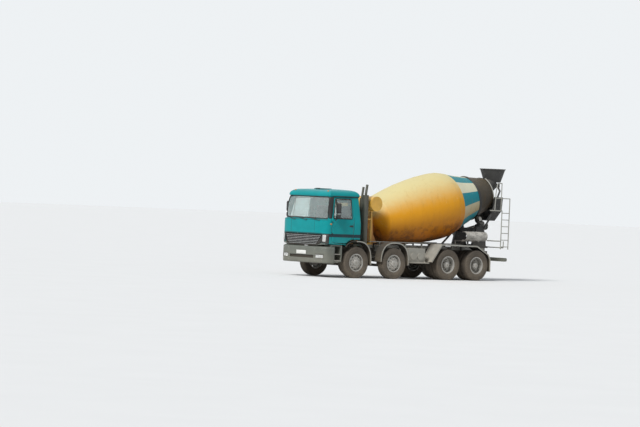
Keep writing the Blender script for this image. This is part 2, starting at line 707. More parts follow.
class Shape:
    """Collects surfaces and makes one mesh of them."""

    WELD_GAP = 0.0005
    BEVEL_ANGLE = 40.0

    def __init__(self) -> None:
        """Start with nothing."""
        self.points: list[np.ndarray] = []
        self.loops: list[np.ndarray] = []
        self.counts: list[np.ndarray] = []
        self.slots: list[np.ndarray] = []
        self.total = 0

    def add(self, points: np.ndarray, faces: np.ndarray, slot: int = 0) -> "Shape":
        """Add points, and faces that all have as many corners."""
        self.points.append(np.asarray(points, float).reshape(-1, 3))
        self.loops.append(np.asarray(faces, int).ravel() + self.total)
        self.counts.append(np.full(len(faces), np.asarray(faces).shape[1]))
        self.slots.append(np.full(len(faces), slot))
        self.total += len(self.points[-1])
        return self

    def grid(self, points: Outline, wrap_u: bool = False, wrap_v: bool = False, slot: int = 0,
             flip: bool = False) -> "Shape":
        """Add a sheet of quads over rows u and columns v of points.

        Args:
            points: The points, rows by columns by three.
            wrap_u: Whether the last row meets the first.
            wrap_v: Whether the last column meets the first.
            slot: The material's number.
            flip: Whether to turn the faces round.

        Returns:
            This shape.
        """
        points = np.asarray(points)
        rows, columns = points.shape[:2]
        number = np.arange(rows * columns).reshape(rows, columns)
        down = np.roll(number, -1, axis=0) if wrap_u else number[1:]
        here = number if wrap_u else number[:-1]
        if wrap_v:
            right, down_right = np.roll(here, -1, axis=1), np.roll(down, -1, axis=1)
        else:
            here, right = here[:, :-1], here[:, 1:]
            down, down_right = down[:, :-1], down[:, 1:]
        faces = np.stack([here, right, down_right, down], axis=-1).reshape(-1, 4)
        return self.add(points, faces[:, ::-1] if flip else faces, slot)

    def box(self, x: Span, y: Span, z: Span, slot: int = 0) -> "Shape":
        """Add a box between two limits on each axis."""
        corners = np.array([(i, j, k) for i in x for j in y for k in z], float)
        faces = [(0, 1, 3, 2), (4, 6, 7, 5), (0, 4, 5, 1), (2, 3, 7, 6), (0, 2, 6, 4), (1, 5, 7, 3)]
        return self.add(corners, np.array(faces), slot)

    def prism(self, outline: Outline, axis: int, low: float, high: float, slot: int = 0) -> "Shape":
        """Carry an outline along an axis, with both ends closed.

        Args:
            outline: The outline in the other two axes, in their order.
            axis: The axis' number, such as Y_AXIS.
            low: Where it starts.
            high: Where it ends.
            slot: The material's number.

        Returns:
            This shape.
        """
        outline = np.asarray(outline, float)
        count = len(outline)
        rest = [i for i in range(3) if i != axis]
        points = np.zeros((2, count, 3))
        points[:, :, rest[0]] = outline[:, 0]
        points[:, :, rest[1]] = outline[:, 1]
        points[0, :, axis] = low
        points[1, :, axis] = high
        after = np.roll(outline, -1, axis=0)
        area = np.sum(outline[:, 0] * after[:, 1] - after[:, 0] * outline[:, 1])
        flip = (area > 0) == (axis != Y_AXIS)
        self.grid(points, wrap_v=True, slot=slot, flip=not flip)
        ends = np.arange(count)
        forward = ends[None] if flip else ends[None, ::-1]
        self.add(points[1], forward, slot)
        self.add(points[0], forward[:, ::-1], slot)
        return self

    def lathe(self, profile: Outline, origin: Point, axis: Point, segments: int = 32,
              slot: int = 0) -> "Shape":
        """Turn a profile about an axis: point = origin + axis * along + radius * (u cos a + v sin a).

        Args:
            profile: Rows of radius and distance along the axis.
            origin: Where the axis starts.
            axis: The axis' direction.
            segments: How many steps round.
            slot: The material's number.

        Returns:
            This shape.
        """
        along = np.array(axis, float) / np.linalg.norm(axis)
        reference = np.array((0.0, 0.0, 1.0)) if abs(along[2]) < 0.9 else np.array((1.0, 0.0, 0.0))
        u = np.cross(reference, along)
        u /= np.linalg.norm(u)
        v = np.cross(along, u)
        angle = np.linspace(0, 2 * math.pi, segments, endpoint=False)
        profile = np.asarray(profile, float)[:, :, None, None]
        ring = u[None] * np.cos(angle)[:, None] + v[None] * np.sin(angle)[:, None]
        points = np.array(origin) + profile[:, 1] * along + profile[:, 0] * ring[None]
        return self.grid(points, wrap_v=True, slot=slot)

    def post(self, radius: float, height: float, origin: Point, axis: Point, segments: int) -> "Shape":
        """Add a solid round post that stands on a point."""
        return self.lathe([(0, 0), (radius, 0), (radius, height), (0, height)], origin, axis, segments)

    def tube(self, path: np.ndarray, radius: float | np.ndarray, sides: int = 10, closed: bool = False,
             slot: int = 0, squeeze: float = 1.0) -> "Shape":
        """Carry a circle along a path, with ends closed.

        Args:
            path: The points of the centre line.
            radius: One radius, or one for each point.
            sides: Points round the circle.
            closed: Whether the path returns to its start.
            slot: The material's number.
            squeeze: The share of the radius kept across the reference direction.

        Returns:
            This shape.
        """
        path = np.asarray(path, float)
        if closed:
            tangent = np.roll(path, -1, axis=0) - np.roll(path, 1, axis=0)
        else:
            tangent = np.gradient(path, axis=0)
        tangent /= np.maximum(np.linalg.norm(tangent, axis=1), TINY)[:, None]
        reference = np.eye(3)[np.argmin(np.max(np.abs(tangent), axis=0))]
        u = np.cross(tangent, reference)
        u /= np.linalg.norm(u, axis=1)[:, None]
        v = np.cross(tangent, u)
        angle = np.arange(sides) * 2 * math.pi / sides
        reach = np.broadcast_to(np.asarray(radius, float), (len(path),))[:, None, None]
        cosine, sine = np.cos(angle)[None, :, None], np.sin(angle)[None, :, None]
        points = path[:, None] + (u[:, None] * cosine + v[:, None] * sine * squeeze) * reach
        if not closed:
            start, end = (path[None, part].repeat(sides, 1) for part in (slice(0, 1), slice(-1, None)))
            points = np.concatenate([start, points, end])
        return self.grid(points, wrap_u=closed, wrap_v=True, slot=slot)

    def mirrored(self, keep: bool = True) -> "Shape":
        """Add a copy of everything on the other side of the truck, with its faces turned round.

        Args:
            keep: Whether what was there stays.

        Returns:
            The shape.
        """
        points, loops, counts, slots = self.joined()
        starts = np.concatenate([[0], np.cumsum(counts)[:-1]])
        place = np.arange(len(loops)) - np.repeat(starts, counts)
        turned = loops[np.repeat(starts + counts - 1, counts) - place]
        if not keep:
            self.points, self.loops, self.counts, self.slots, self.total = [], [], [], [], 0
        self.points.append(points * np.array((1.0, -1.0, 1.0)))
        self.loops.append(turned + self.total)
        self.counts.append(counts)
        self.slots.append(slots)
        self.total += len(points)
        return self

    def joined(self) -> tuple[np.ndarray, np.ndarray, np.ndarray, np.ndarray]:
        """Return the points, corners, corner counts and slots, each as one array."""
        points, loops, counts, slots = (
            np.concatenate(part) for part in (self.points, self.loops, self.counts, self.slots))
        return points, loops, counts, slots

    def build(self, name: str, looks: Look | tuple[Look, ...], body: str, bevel: float = 0.0,
              wall: float = 0.0, smooth: float = 35.0, weld: bool = False) -> Piece:
        """Make the object.

        Args:
            name: The piece's name.
            looks: Its finish, or one for each slot.
            body: The body that it rides on.
            bevel: Width of the edges' rounding.
            wall: Thickness added inwards.
            smooth: Angle in degrees under which edges are smooth.
            weld: Whether points at one place become one.

        Returns:
            The piece.
        """
        points, loops, counts, slots = self.joined()
        points = points + np.array((AXLE_1_X, 0.0, 0.0))
        starts = np.concatenate([[0], np.cumsum(counts)[:-1]])
        mesh = bpy.data.meshes.new(name)
        mesh.vertices.add(len(points))
        mesh.vertices.foreach_set("co", points.astype(np.float32).ravel())
        mesh.loops.add(len(loops))
        mesh.loops.foreach_set("vertex_index", loops.astype(np.int32))
        mesh.polygons.add(len(counts))
        mesh.polygons.foreach_set("loop_start", starts.astype(np.int32))
        mesh.polygons.foreach_set("material_index", slots.astype(np.int32))
        mesh.polygons.foreach_set("use_smooth", np.ones(len(counts), bool))
        mesh.update(calc_edges=True)
        mesh.validate()
        piece = new_object(name, mesh)
        for look in looks if isinstance(looks, tuple) else (looks,):
            mesh.materials.append(MADE[look])
        if weld:
            modify(piece, "weld", "WELD", merge_threshold=self.WELD_GAP)
        if wall > 0:
            modify(piece, "wall", "SOLIDIFY", thickness=wall, offset=-1, use_even_offset=False)
        if bevel > 0:
            modify(piece, "edge", "BEVEL", width=bevel, segments=2, limit_method="ANGLE",
                   angle_limit=math.radians(self.BEVEL_ANGLE), use_clamp_overlap=True)
        mesh.set_sharp_from_angle(angle=math.radians(smooth))
        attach(piece, body)
        LOG.info("%s: %d points, %d faces, rides on %s", name, len(points), len(counts), body)
        return piece


# Cab


class CabForm:
    """The cab's outer surface as a function of distance round its plan and of height."""

    rear = -0.17
    half = 1.21
    nose = 0.42
    power = 4.2
    corner = 0.07
    nose_x = 1.02
    still_x = 0.6
    cowl = (1.95, 1.985)
    half_line = ((1.86, 2.83), (1.21, 1.07))
    rear_line = ((1.9, 2.86), (-0.17, -0.11))
    nose_line = ((1.985, 2.74, 2.84), (1.41, 1.17, 1.184))
    power_line = ((2.0, 2.36, 2.74), (2.6, 3.0, 4.0))
    blend = 20
    least_v = 1e-6
    blur = 17
    side_part = slice(20, 157)
    front_part = slice(0, 110)

    def __init__(self) -> None:
        """Work out the left half of the plan: a superellipse nose, a straight side and a round corner.

        The nose is x = nose_x + nose * (1 - (y / half) ** power) ** (1 / power), first by y and then by x.
        """
        root = 1 / self.power
        y = np.linspace(0, 1.1, 60)
        nose_a = np.column_stack([self.nose_x + self.nose * (1 - (y / self.half) ** self.power) ** root, y])
        x = np.linspace(nose_a[-1, 0], self.nose_x, 60)[1:]
        share = (x - self.nose_x) / self.nose
        nose_b = np.column_stack([x, self.half * (1 - share ** self.power) ** root])
        x = np.linspace(self.nose_x, self.rear + self.corner, 30)[1:]
        side = np.column_stack([x, np.full(len(x), self.half)])
        angle = np.linspace(0, math.pi / 2, 10)[1:]
        turn = np.column_stack([self.rear + self.corner - self.corner * np.sin(angle),
                                self.half - self.corner + self.corner * np.cos(angle)])
        y = np.linspace(self.half - self.corner, 0, 30)[1:]
        back = np.column_stack([np.full(len(y), self.rear), y])
        self.plan = np.vstack([nose_a, nose_b, side, turn, back])
        steps = np.linalg.norm(np.diff(self.plan, axis=0), axis=1)
        self.distance = np.concatenate([[0], np.cumsum(steps)])
        self.reach = float(self.distance[-1])
        height = np.linspace(0.9, 3.2, 461)
        box = np.ones(self.blur) / self.blur
        cut = self.blur // 2
        self.heights = height[cut:-cut]
        self.half_at = np.convolve(np.interp(height, *self.half_line), box, "valid")
        self.rear_at = np.convolve(np.interp(height, *self.rear_line), box, "valid")

    def curve(self, far: np.ndarray, z: np.ndarray) -> tuple[np.ndarray, np.ndarray]:
        """Return x and y of plan points at a height.

        The sides move in to the half width and the rear to its own line. Over the belt the nose also
        turns from the base superellipse to q / ((qx / depth) ** n + c ** n) ** (1 / n), where q is the base
        point scaled to the depth and half width there, c is its place on a rounder superellipse and n is
        the blend.

        Args:
            far: Distance round the plan, on the left.
            z: Height.

        Returns:
            The two coordinates.
        """
        x = np.interp(far, self.distance, self.plan[:, 0])
        v = np.interp(far, self.distance, self.plan[:, 1]) / self.half
        half = np.interp(z, self.heights, self.half_at)
        rear = np.interp(z, self.heights, self.rear_at)
        depth = np.interp(z, *self.nose_line) - self.nose_x
        power = np.interp(z, *self.power_line)
        u = np.clip((x - self.nose_x) / self.nose, 0, 1)
        bend = (u * depth / self.nose) ** power + np.maximum(v, self.least_v) ** power
        shrink = (u ** self.blend + bend ** (self.blend / power)) ** (-1 / self.blend)
        above = np.clip((z - self.cowl[0]) / (self.cowl[1] - self.cowl[0]), 0, 1)
        nose_x = self.nose_x + u * (self.nose + (depth * shrink - self.nose) * above)
        nose_y = v * half * (1 + (shrink - 1) * above)
        back = self.still_x + (x - self.still_x) * (self.still_x - rear) / (self.still_x - self.rear)
        ahead = x > self.nose_x
        side_x = np.where(x < self.still_x, back, x)
        return np.where(ahead, nose_x, side_x), np.where(ahead, nose_y, v * half)

    def place(self, around: np.ndarray, z: np.ndarray, inset: float = 0.0) -> np.ndarray:
        """Return points on the surface, moved in against the curve's normal by an inset.

        Args:
            around: Distance round the plan from the middle of the front, positive to the left.
            z: Height.
            inset: Depth below the surface.

        Returns:
            The points.
        """
        far = np.clip(np.abs(around), 0, self.reach)
        z = np.broadcast_to(np.asarray(z, float), far.shape)
        step = 0.006
        x, y = self.curve(far, z)
        ahead = self.curve(np.clip(far + step, 0, self.reach), z)
        behind = self.curve(np.clip(far - step, 0, self.reach), z)
        dx, dy = ahead[0] - behind[0], ahead[1] - behind[1]
        size = np.maximum(np.hypot(dx, dy), TINY)
        x = x - inset * dy / size
        y = y + inset * dx / size
        return np.stack([x, y * np.where(around < 0, -1.0, 1.0), z], axis=-1)

    def from_side(self, x: float, z: float) -> tuple[float, float]:
        """Return the distance round and the height of a point seen from the side."""
        far = self.distance[self.side_part]
        found = self.curve(far, np.full(len(far), z))[0]
        return float(np.interp(-x, -found, far)), z

    def from_front(self, y: float, z: float) -> tuple[float, float]:
        """Return the distance round and the height of a point seen from the front."""
        far = self.distance[self.front_part]
        found = self.curve(far, np.full(len(far), z))[1]
        return float(np.copysign(np.interp(abs(y), found, far), y)), z

    def from_rear(self, y: float, z: float) -> tuple[float, float]:
        """Return the distance round and the height of a point seen from the rear."""
        half = float(np.interp(z, self.heights, self.half_at))
        return float(np.copysign(self.reach - abs(y) * self.half / half, y)), z


FORM = CabForm()


ARCH_POWER = 2.6


def arch_height(x: np.ndarray | float, half: float, rise: float) -> np.ndarray | float:
    """Return a wheel arch's height: hub + rise * (1 - |x / half| ** power) ** (1 / power)."""
    inside = np.maximum(0.0, 1 - np.abs(np.asarray(x) / half) ** ARCH_POWER)
    return HUB_Z + rise * inside ** (1 / ARCH_POWER)


def side_loop(points: list[tuple[float, float]]) -> np.ndarray:
    """Turn an outline seen from the left side into distances round the cab and heights."""
    return np.array([FORM.from_side(x, z) for x, z in points])


def front_loop(points: list[tuple[float, float]]) -> np.ndarray:
    """Turn an outline seen from the front into distances round the cab and heights."""
    return np.array([FORM.from_front(y, z) for y, z in points])


def flipped(loop: np.ndarray) -> np.ndarray:
    """Return an outline on the right side, still turning the same way."""
    return (loop * np.array((-1.0, 1.0)))[::-1]


def both_sides(loop: np.ndarray) -> list[np.ndarray]:
    """Return an outline on the left side and on the right."""
    return [loop, flipped(loop)]


@dataclass
class Cab:
    """The cab's skins, roof, doors, windows, trim and inside."""

    wall: float = 0.04
    low: float = 1.13
    gutter: float = 2.775
    step: float = 0.055
    gap: float = 0.008
    screen: tuple[float, float, float, float] = (1.105, 1.995, 1.035, 2.735)
    rear_glass: Point = (0.56, 2.08, 2.56)
    door_front: float = 1.12
    door_rear: float = 0.16
    door_low: float = 1.18
    door_high: float = 2.74
    door_arch: Span = (0.672, 0.795)
    skin_arch: Span = (0.652, 0.775)
    hinge_x: float = 1.124
    hinge_heights: Span = (1.5, 1.88)
    hinge_radius: float = 0.009
    handle_z: float = 1.765

    def panel(self, shape: Shape, outline: np.ndarray, holes: list[np.ndarray], inset: float = 0.0,
              slot: int = 0) -> Shape:
        """Cover an outline on the cab's surface, with holes."""
        points, faces = flat_mesh(outline, holes, self.step, FORM.cowl)
        placed = FORM.place(points[:, 0], points[:, 1], inset)
        return shape.add(placed, faces, slot)

    def bead(self, shape: Shape, loop: np.ndarray, radius: float, inset: float = 0.0, slot: int = 0,
             closed: bool = True, sides: int = 8) -> Shape:
        """Carry a round bead along an outline on the cab's surface."""
        path = resampled(loop, self.step, closed)
        return shape.tube(FORM.place(path[:, 0], path[:, 1], inset), radius, sides, closed, slot)

    def screen_loop(self, grow: float = 0.0) -> np.ndarray:
        """Return the windscreen's outline, larger by a margin."""
        low_y, low_z, high_y, high_z = self.screen
        corners = [(-low_y - grow, low_z - grow), (low_y + grow, low_z - grow),
                   (high_y + grow, high_z + grow), (-high_y - grow, high_z + grow)]
        return rounded(front_loop(corners), 0.09)

    def side_window(self, grow: float = 0.0) -> np.ndarray:
        """Return the left door window's outline, larger by a margin."""
        corners = [(0.25 - grow, 2.01 - grow), (1.06 + grow, 2.01 - grow),
                   (1.06 + grow, 2.06 + grow * 0.3), (0.945 + grow, 2.68 + grow),
                   (0.25 - grow, 2.68 + grow)]
        return rounded(side_loop(corners), 0.045)

    def door_loop(self, grow: float = 0.0) -> np.ndarray:
        """Return the left door's outline, with the wheel arch cut from its low rear corner."""
        start, end = self.door_rear - grow, 0.481
        x = np.linspace(start, end, 14)
        z = arch_height(x, *self.door_arch) - grow
        front = self.door_front + grow
        points = [(0.98 + grow, self.door_high + grow), (start, self.door_high + grow)]
        points += list(zip(x.tolist(), z.tolist()))
        points += [(1.02 + grow, self.door_low - grow), (front, self.door_low + 0.04 - grow), (front, 2.02)]
        return side_loop(points)

    def skin_loop(self) -> np.ndarray:
        """Return the fixed skin's outline: down the rear, over the arch, round the door and the front."""
        grow = self.gap
        rear_low = 1.3
        front, top = self.door_front + grow, self.door_high + grow
        left = [FORM.from_rear(0.0, rear_low), FORM.from_rear(1.12, rear_low)]
        left += self.arch_points(np.linspace(-0.168, self.door_rear - grow, 10))
        left += [FORM.from_side(*p) for p in [
            (self.door_rear - grow, top), (0.98 + grow, top), (front, 2.02), (front, 1.212),
            (1.024, self.door_low - grow)]]
        left += self.arch_points(np.linspace(0.489, 0.52, 4))
        left += [FORM.from_side(*p) for p in [(0.53, self.low), (1.16, self.low), (1.3, 1.14)]]
        left += [FORM.from_front(*p) for p in [(0.962, 1.165), (0.962, 1.2), (1.0, 1.47), (0.0, 1.47)]]
        left = np.array(left)
        half, low, high = self.rear_glass
        inner = FORM.reach - half
        window = np.array([(FORM.reach, low), (inner, low), (inner, high), (FORM.reach, high),
                           (FORM.reach, self.gutter)])
        mirror = np.array((-1.0, 1.0))
        return self.tidy(np.vstack([left, flipped(left), window * mirror, window[::-1]]))

    def arch_points(self, along: np.ndarray) -> list[tuple[float, float]]:
        """Return points of the skin's wheel arch at distances from the first axle."""
        return [FORM.from_side(x, float(arch_height(x, *self.skin_arch))) for x in along]

    @staticmethod
    def tidy(loop: np.ndarray) -> np.ndarray:
        """Drop points of a loop that lie on the one before."""
        return loop[np.linalg.norm(loop - np.roll(loop, 1, axis=0), axis=1) > CLOSE]

    def build(self) -> None:
        """Build every piece of the cab."""
        self.skin()
        self.roof()
        self.front_panels()
        self.floor()
        self.glazing()
        self.doors()
        self.wipers()
        self.trim()

    def skin(self) -> None:
        """Build the fixed walls as one shell with the windscreen and rear window cut out."""
        shape = self.panel(Shape(), self.skin_loop(), [self.screen_loop()])
        piece = shape.build("cab_skin", Look.TEAL, "cab", wall=self.wall, weld=True)
        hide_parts("cab_shell")

    def roof(self) -> None:
        """Build the roof: rings carried in from the gutter over a round shoulder to a crowned top."""
        around = np.linspace(-FORM.reach, FORM.reach, 241)[:-1]
        rise, pull = np.array([
            (0.0, 0.04), (0.0, -0.018), (0.012, -0.03), (0.045, -0.03), (0.085, -0.016), (0.125, 0.01),
            (0.16, 0.05), (0.188, 0.105), (0.207, 0.18), (0.219, 0.29), (0.228, 0.44), (0.234, 0.62),
            (0.237, 0.8)]).T
        level = self.gutter - 0.006
        edge = FORM.place(around, np.full(len(around), level), 0.0)
        centre = np.array((0.52, 0.0, 0.0))
        size = np.array((0.64, 1.07))
        offset = (edge - centre)[:, :2] / size
        scale = 1 - pull[:, None, None] / size[None, None]
        points = np.zeros((len(rise), len(around), 3))
        points[:, :, :2] = centre[:2] + offset[None] * size * np.maximum(scale, 0.02)
        ahead = np.clip((edge[:, 0] - 1.02) / 0.2, 0, 1)
        slope = np.interp(edge[:, 0], (-0.2, 1.2), (0.0, -0.012))
        points[:, :, 2] = level + rise[:, None] + slope[None] - 0.016 * ahead[None] * (rise[:, None] < 0.02)
        crown = np.array([[(centre[0], 0.0, level + 0.24)]]).repeat(len(around), 1)
        shape = Shape().grid(np.concatenate([points, crown]), wrap_v=True)
        piece = shape.build("cab_roof", Look.TEAL, "cab", smooth=60, weld=True)
        self.roof_hatch()
        self.gutters()

    @staticmethod
    def roof_hatch() -> None:
        """Build the hatch on the roof, its seal and its latch."""
        outlines = [rounded([(x0, -y), (x1, -y), (x1, y), (x0, y)], radius) for x0, x1, y, radius in (
            (0.42, 0.8, 0.26, 0.07), (0.4, 0.82, 0.28, 0.08), (0.8, 0.85, 0.09, 0.02))]
        hatch = Shape().prism(outlines[0], Z_AXIS, 2.995, 3.018)
        hatch.build("roof_hatch", Look.TEAL, "cab", bevel=0.008)
        seal = Shape().prism(outlines[1], Z_AXIS, 2.994, 3.006).prism(outlines[2], Z_AXIS, 2.994, 3.026)
        seal.build("roof_hatch_seal", Look.RUBBER, "cab", bevel=0.003)

    def gutters(self) -> None:
        """Build the dark beads under the roof's edge, along the sides and across the front."""
        line = Shape()
        z = self.gutter - 0.016
        path = np.array([FORM.from_side(x, z) for x in (1.06, 0.6, -0.09)])
        for side, _ in SIDES:
            self.bead(line, path * np.array((side, 1.0)), 0.018, -0.012, closed=False)
        path = np.array([FORM.from_front(y, z) for y in np.linspace(-1.02, 1.02, 40)])
        self.bead(line, path, 0.01, -0.008, closed=False)
        line.build("roof_gutter", Look.RUBBER, "cab")

    def front_panels(self) -> None:
        """Build the grey corner panels, the black corners with their lamps and the black pillar covers."""
        shape = Shape()
        corner = side_loop([(1.43, 1.082), (1.4, 1.097), (1.35, 1.117), (1.25, 1.131), (1.3, 1.134)])
        corner = np.vstack([corner, front_loop([(0.956, 1.158), (0.762, 1.074)])])
        for loop in both_sides(corner):
            self.panel(shape, loop, [])
        shape.build("corner_panels", Look.BUMPER, "cab", wall=0.03)
        dark, rims, lenses = Shape(), Shape(), Shape()
        corner = np.vstack([
            front_loop([(0.996, 1.462), (1.08, 1.462)]),
            side_loop([(1.235, 1.462), (1.235, 1.148), (1.3, 1.146)]),
            front_loop([(0.966, 1.172), (0.966, 1.204)])])
        for loop in both_sides(corner) + both_sides(self.pillar_loop()):
            self.panel(dark, loop, [], inset=-0.003)
        lamp = front_loop([(1.02, 1.215), (1.12, 1.215), (1.128, 1.435), (1.02, 1.435)])
        for loop in both_sides(rounded(lamp, 0.02, 4)):
            self.panel(lenses, loop, [], inset=-0.01)
            self.bead(rims, loop, 0.007, -0.006)
        dark.build("corner_blacks", Look.BLACK, "cab", wall=0.006)
        rims.build("corner_lamp_rims", Look.CHROME, "cab")
        lenses.build("corner_lamps", Look.LENS, "cab", wall=0.004)

    @staticmethod
    def pillar_loop() -> np.ndarray:
        """Return the outline of the left pillar's cover, between the windscreen and the door."""
        heights = np.linspace(2.0, 2.73, 12)
        y = np.interp(heights, (1.995, 2.735), (1.124, 1.054))
        x = np.interp(heights, (2.0, 2.73), (1.136, 1.005))
        return np.vstack([front_loop(list(zip(y, heights))), side_loop(list(zip(x, heights)))[::-1]])

    def floor(self) -> None:
        """Build the floor, the tunnel over the engine, the tilt arms and the hinge barrels."""
        shape = Shape()
        rear, tunnel_end, front = -0.15, 0.96, 1.32
        floor, wall, roof = (1.36, 1.4), (1.36, 1.52), (1.52, 1.56)
        shape.box((rear, front), (-1.16, -0.42), floor).box((rear, front), (0.42, 1.16), floor)
        shape.box((tunnel_end, front), (-0.42, 0.42), floor)
        shape.box((rear, tunnel_end), (-0.42, 0.42), roof)
        shape.box((rear, tunnel_end), (-0.42, -0.38), wall).box((rear, tunnel_end), (0.38, 0.42), wall)
        shape.box((0.92, tunnel_end), (-0.38, 0.38), wall)
        shape.build("cab_floor", Look.TRIM, "cab", bevel=0.006)
        outline = [(1.195, 0.73), (1.285, 0.73), (1.285, 0.77), (1.262, 0.86), (1.225, 0.915),
                   (1.16, 0.952), (1.095, 0.987), (1.03, 1.027), (1.03, 1.39), (0.95, 1.39), (0.95, 1.0),
                   (1.08, 0.89)]
        arms = Shape().prism(outline, Y_AXIS, 0.455, 0.48)
        arms.post(0.025, 0.064, (1.24, 0.416, 0.76), (0, 1, 0), 20)
        arms.mirrored()
        arms.build("tilt_arms", Look.FRAME, "cab", bevel=0.004)
        barrels = Shape()
        for z in self.hinge_heights:
            for lift in (-0.036, 0.02):
                barrels.post(self.hinge_radius, 0.016, (self.hinge_x, FORM.half, z + lift), (0, 0, 1), 12)
                barrels.box((1.126, 1.148), (1.192, 1.214), (z + lift, z + lift + 0.016))
            barrels.post(0.004, 0.072, (self.hinge_x, FORM.half, z - 0.036), (0, 0, 1), 8)
        barrels.mirrored()
        barrels.build("door_hinge_barrels", Look.TEAL, "cab")

    def glazing(self) -> None:
        """Build the windscreen, the rear window and their rubber seals."""
        glass = self.panel(Shape(), self.screen_loop(-0.004), [], inset=0.012)
        screen = glass.build("windscreen", Look.GLASS, "cab", wall=0.006)
        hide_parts("cab_glass")
        rear = Shape().box((-0.146, -0.138), (-0.556, 0.556), (2.084, 2.556))
        rear.build("rear_window", Look.GLASS, "cab")
        seals = self.bead(Shape(), self.screen_loop(0.004), 0.017, 0.002)
        half, low, high = self.rear_glass
        frame = rounded([(-half, low), (half, low), (half, high), (-half, high)], 0.05)
        path = np.column_stack([np.interp(frame[:, 1], FORM.heights, FORM.rear_at), frame])
        seals.tube(path, 0.015, 8, closed=True)
        seals.build("window_seals", Look.RUBBER, "cab")

    def doors(self) -> None:
        """Build both doors with their windows, seals, handles and hinge eyes."""
        for side, word in SIDES:
            body = "door_left" if side > 0 else "door_right"
            turned = flipped if side < 0 else np.array
            shape = self.panel(Shape(), turned(self.tidy(self.door_loop())), [turned(self.side_window())])
            door = shape.build(f"door_{word}_skin", Look.TEAL, body, wall=self.wall)
            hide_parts(f"door_{word}")
            glass = self.panel(Shape(), turned(self.side_window(-0.004)), [], inset=0.016)
            pane = glass.build(f"door_window_{word}", Look.GLASS, body, wall=0.006)
            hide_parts(f"door_glass_{word}")
            seal = self.bead(Shape(), turned(self.side_window(0.002)), 0.014, 0.0)
            bar = np.array([FORM.from_side(0.905, 2.015), FORM.from_side(0.905, 2.672)])
            self.bead(seal, bar * np.array((side, 1.0)), 0.012, 0.006, closed=False)
            seal.build(f"door_seal_{word}", Look.RUBBER, body)
            self.door_fittings(side, word, body)
            self.mirrors(side, word, body)

    def door_fittings(self, side: int, word: str, body: str) -> None:
        """Build a door's handle, its recess, its lock and the hinge eyes.

        Args:
            side: 1 on the left and -1 on the right.
            word: The side's letter in names.
            body: The door's body.
        """
        handle = Shape()
        y, out, z = FORM.half, FORM.half + 0.026, self.handle_z
        grip = [(0.225, y, z), (0.235, out, z), (0.325, out, z), (0.335, y, z)]
        handle.tube(rounded(grip, 0.012, closed=False), 0.009, 10)
        recess = rounded([(0.205, 1.735), (0.35, 1.735), (0.35, 1.795), (0.205, 1.795)], 0.015)
        handle.prism(recess, Y_AXIS, y - 0.004, y + 0.003)
        handle.lathe([(0, 0), (0.012, 0), (0.01, 0.004), (0, 0.005)], (0.385, y, z), (0, 1, 0), 14)
        half = 0.0195
        for z in self.hinge_heights:
            handle.post(self.hinge_radius, 2 * half, (self.hinge_x, y, z - half), (0, 0, 1), 12)
            handle.box((1.1, 1.12), (y - 0.018, y + 0.005), (z - half, z + half))
        if side < 0:
            handle.mirrored(keep=False)
        handle.build(f"door_handle_{word}", Look.BLACK, body, bevel=0.0015)

    def wipers(self) -> None:
        """Build three wipers parked at the foot of the windscreen."""
        arms, blades = Shape(), Shape()
        for base, tip in ((0.86, 0.36), (0.2, -0.24), (-0.42, -0.8)):
            foot = np.array(FORM.from_front(base, 1.935))
            end = np.array(FORM.from_front(tip, 2.02))
            path = foot + (end - foot) * np.linspace(0, 1, 14)[:, None]
            lift = -0.03 - 0.014 * np.sin(np.linspace(0, math.pi, 14))
            arms.tube(FORM.place(path[:, 0], path[:, 1], lift), 0.009, 8)
            knob = [(0, -0.02), (0.02, -0.02), (0.02, 0.024), (0.012, 0.032), (0, 0.034)]
            arms.lathe(knob, tuple(FORM.place(foot[:1], foot[1:], 0.012)[0]), (1, 0, 0.2), 16)
            start = np.array(FORM.from_front(tip + 0.33, 2.006))
            stop = np.array(FORM.from_front(tip - 0.27, 2.034))
            path = start + (stop - start) * np.linspace(0, 1, 20)[:, None]
            blades.tube(FORM.place(path[:, 0], path[:, 1], np.full(20, -0.016)), 0.009, 6, squeeze=0.7)
        arms.build("wiper_arms", Look.BLACK, "cab")
        blades.build("wiper_blades", Look.RUBBER, "cab")

    @staticmethod
    def mirrors(side: int, word: str, body: str) -> None:
        """Build a door's two mirror heads with their silvered faces on a tube frame.

        A head is a row of rounded outlines that shrink forward to a domed back, with a flat face behind.

        Args:
            side: 1 on the left and -1 on the right.
            word: The side's letter in names.
            body: The door's body.
        """
        shape = Shape()
        x, y = 1.0, FORM.half
        pole = y + 0.05
        path = [(x - 0.008, 1.111, 2.56), (x - 0.008, 1.18, 2.56), (x, pole, 2.57), (x, pole, 1.96),
                (x, y + 0.02, 1.96), (x, 1.198, 1.96)]
        shape.tube(rounded(path, 0.05, closed=False), 0.012, 10)
        back = ((-0.034, 0.9), (-0.036, 0.99), (-0.028, 1.0), (0.012, 0.97), (0.032, 0.82), (0.04, 0.5),
                (0.041, 0.02))
        face = ((-0.0315, 0.91), (-0.0315, 0.02))
        for low, high, reach in ((2.18, 2.54, 0.235), (2.0, 2.16, 0.225)):
            corners = [(y + 0.035, low), (y + reach, low), (y + reach, high), (y + 0.035, high)]
            outline = rounded(corners, 0.045, 6)
            middle = outline.mean(axis=0)
            for slot, rings in enumerate((back, face)):
                rows = [np.insert(middle + (outline - middle) * scale, 0, x + lift, axis=1)
                        for lift, scale in rings]
                shape.grid(rows, wrap_v=True, slot=slot, flip=slot == 0)
            margin = 0.2 * (high - low)
            for z in (low + margin, high - margin):
                shape.post(0.019, 0.03, (x, pole, z), (0, 0, 1), 12)
        if side < 0:
            shape.mirrored(keep=False)
        made = shape.build(f"mirror_set_{word}", (Look.BLACK, Look.MIRROR), body, smooth=50)
        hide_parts(f"mirror_{word}")

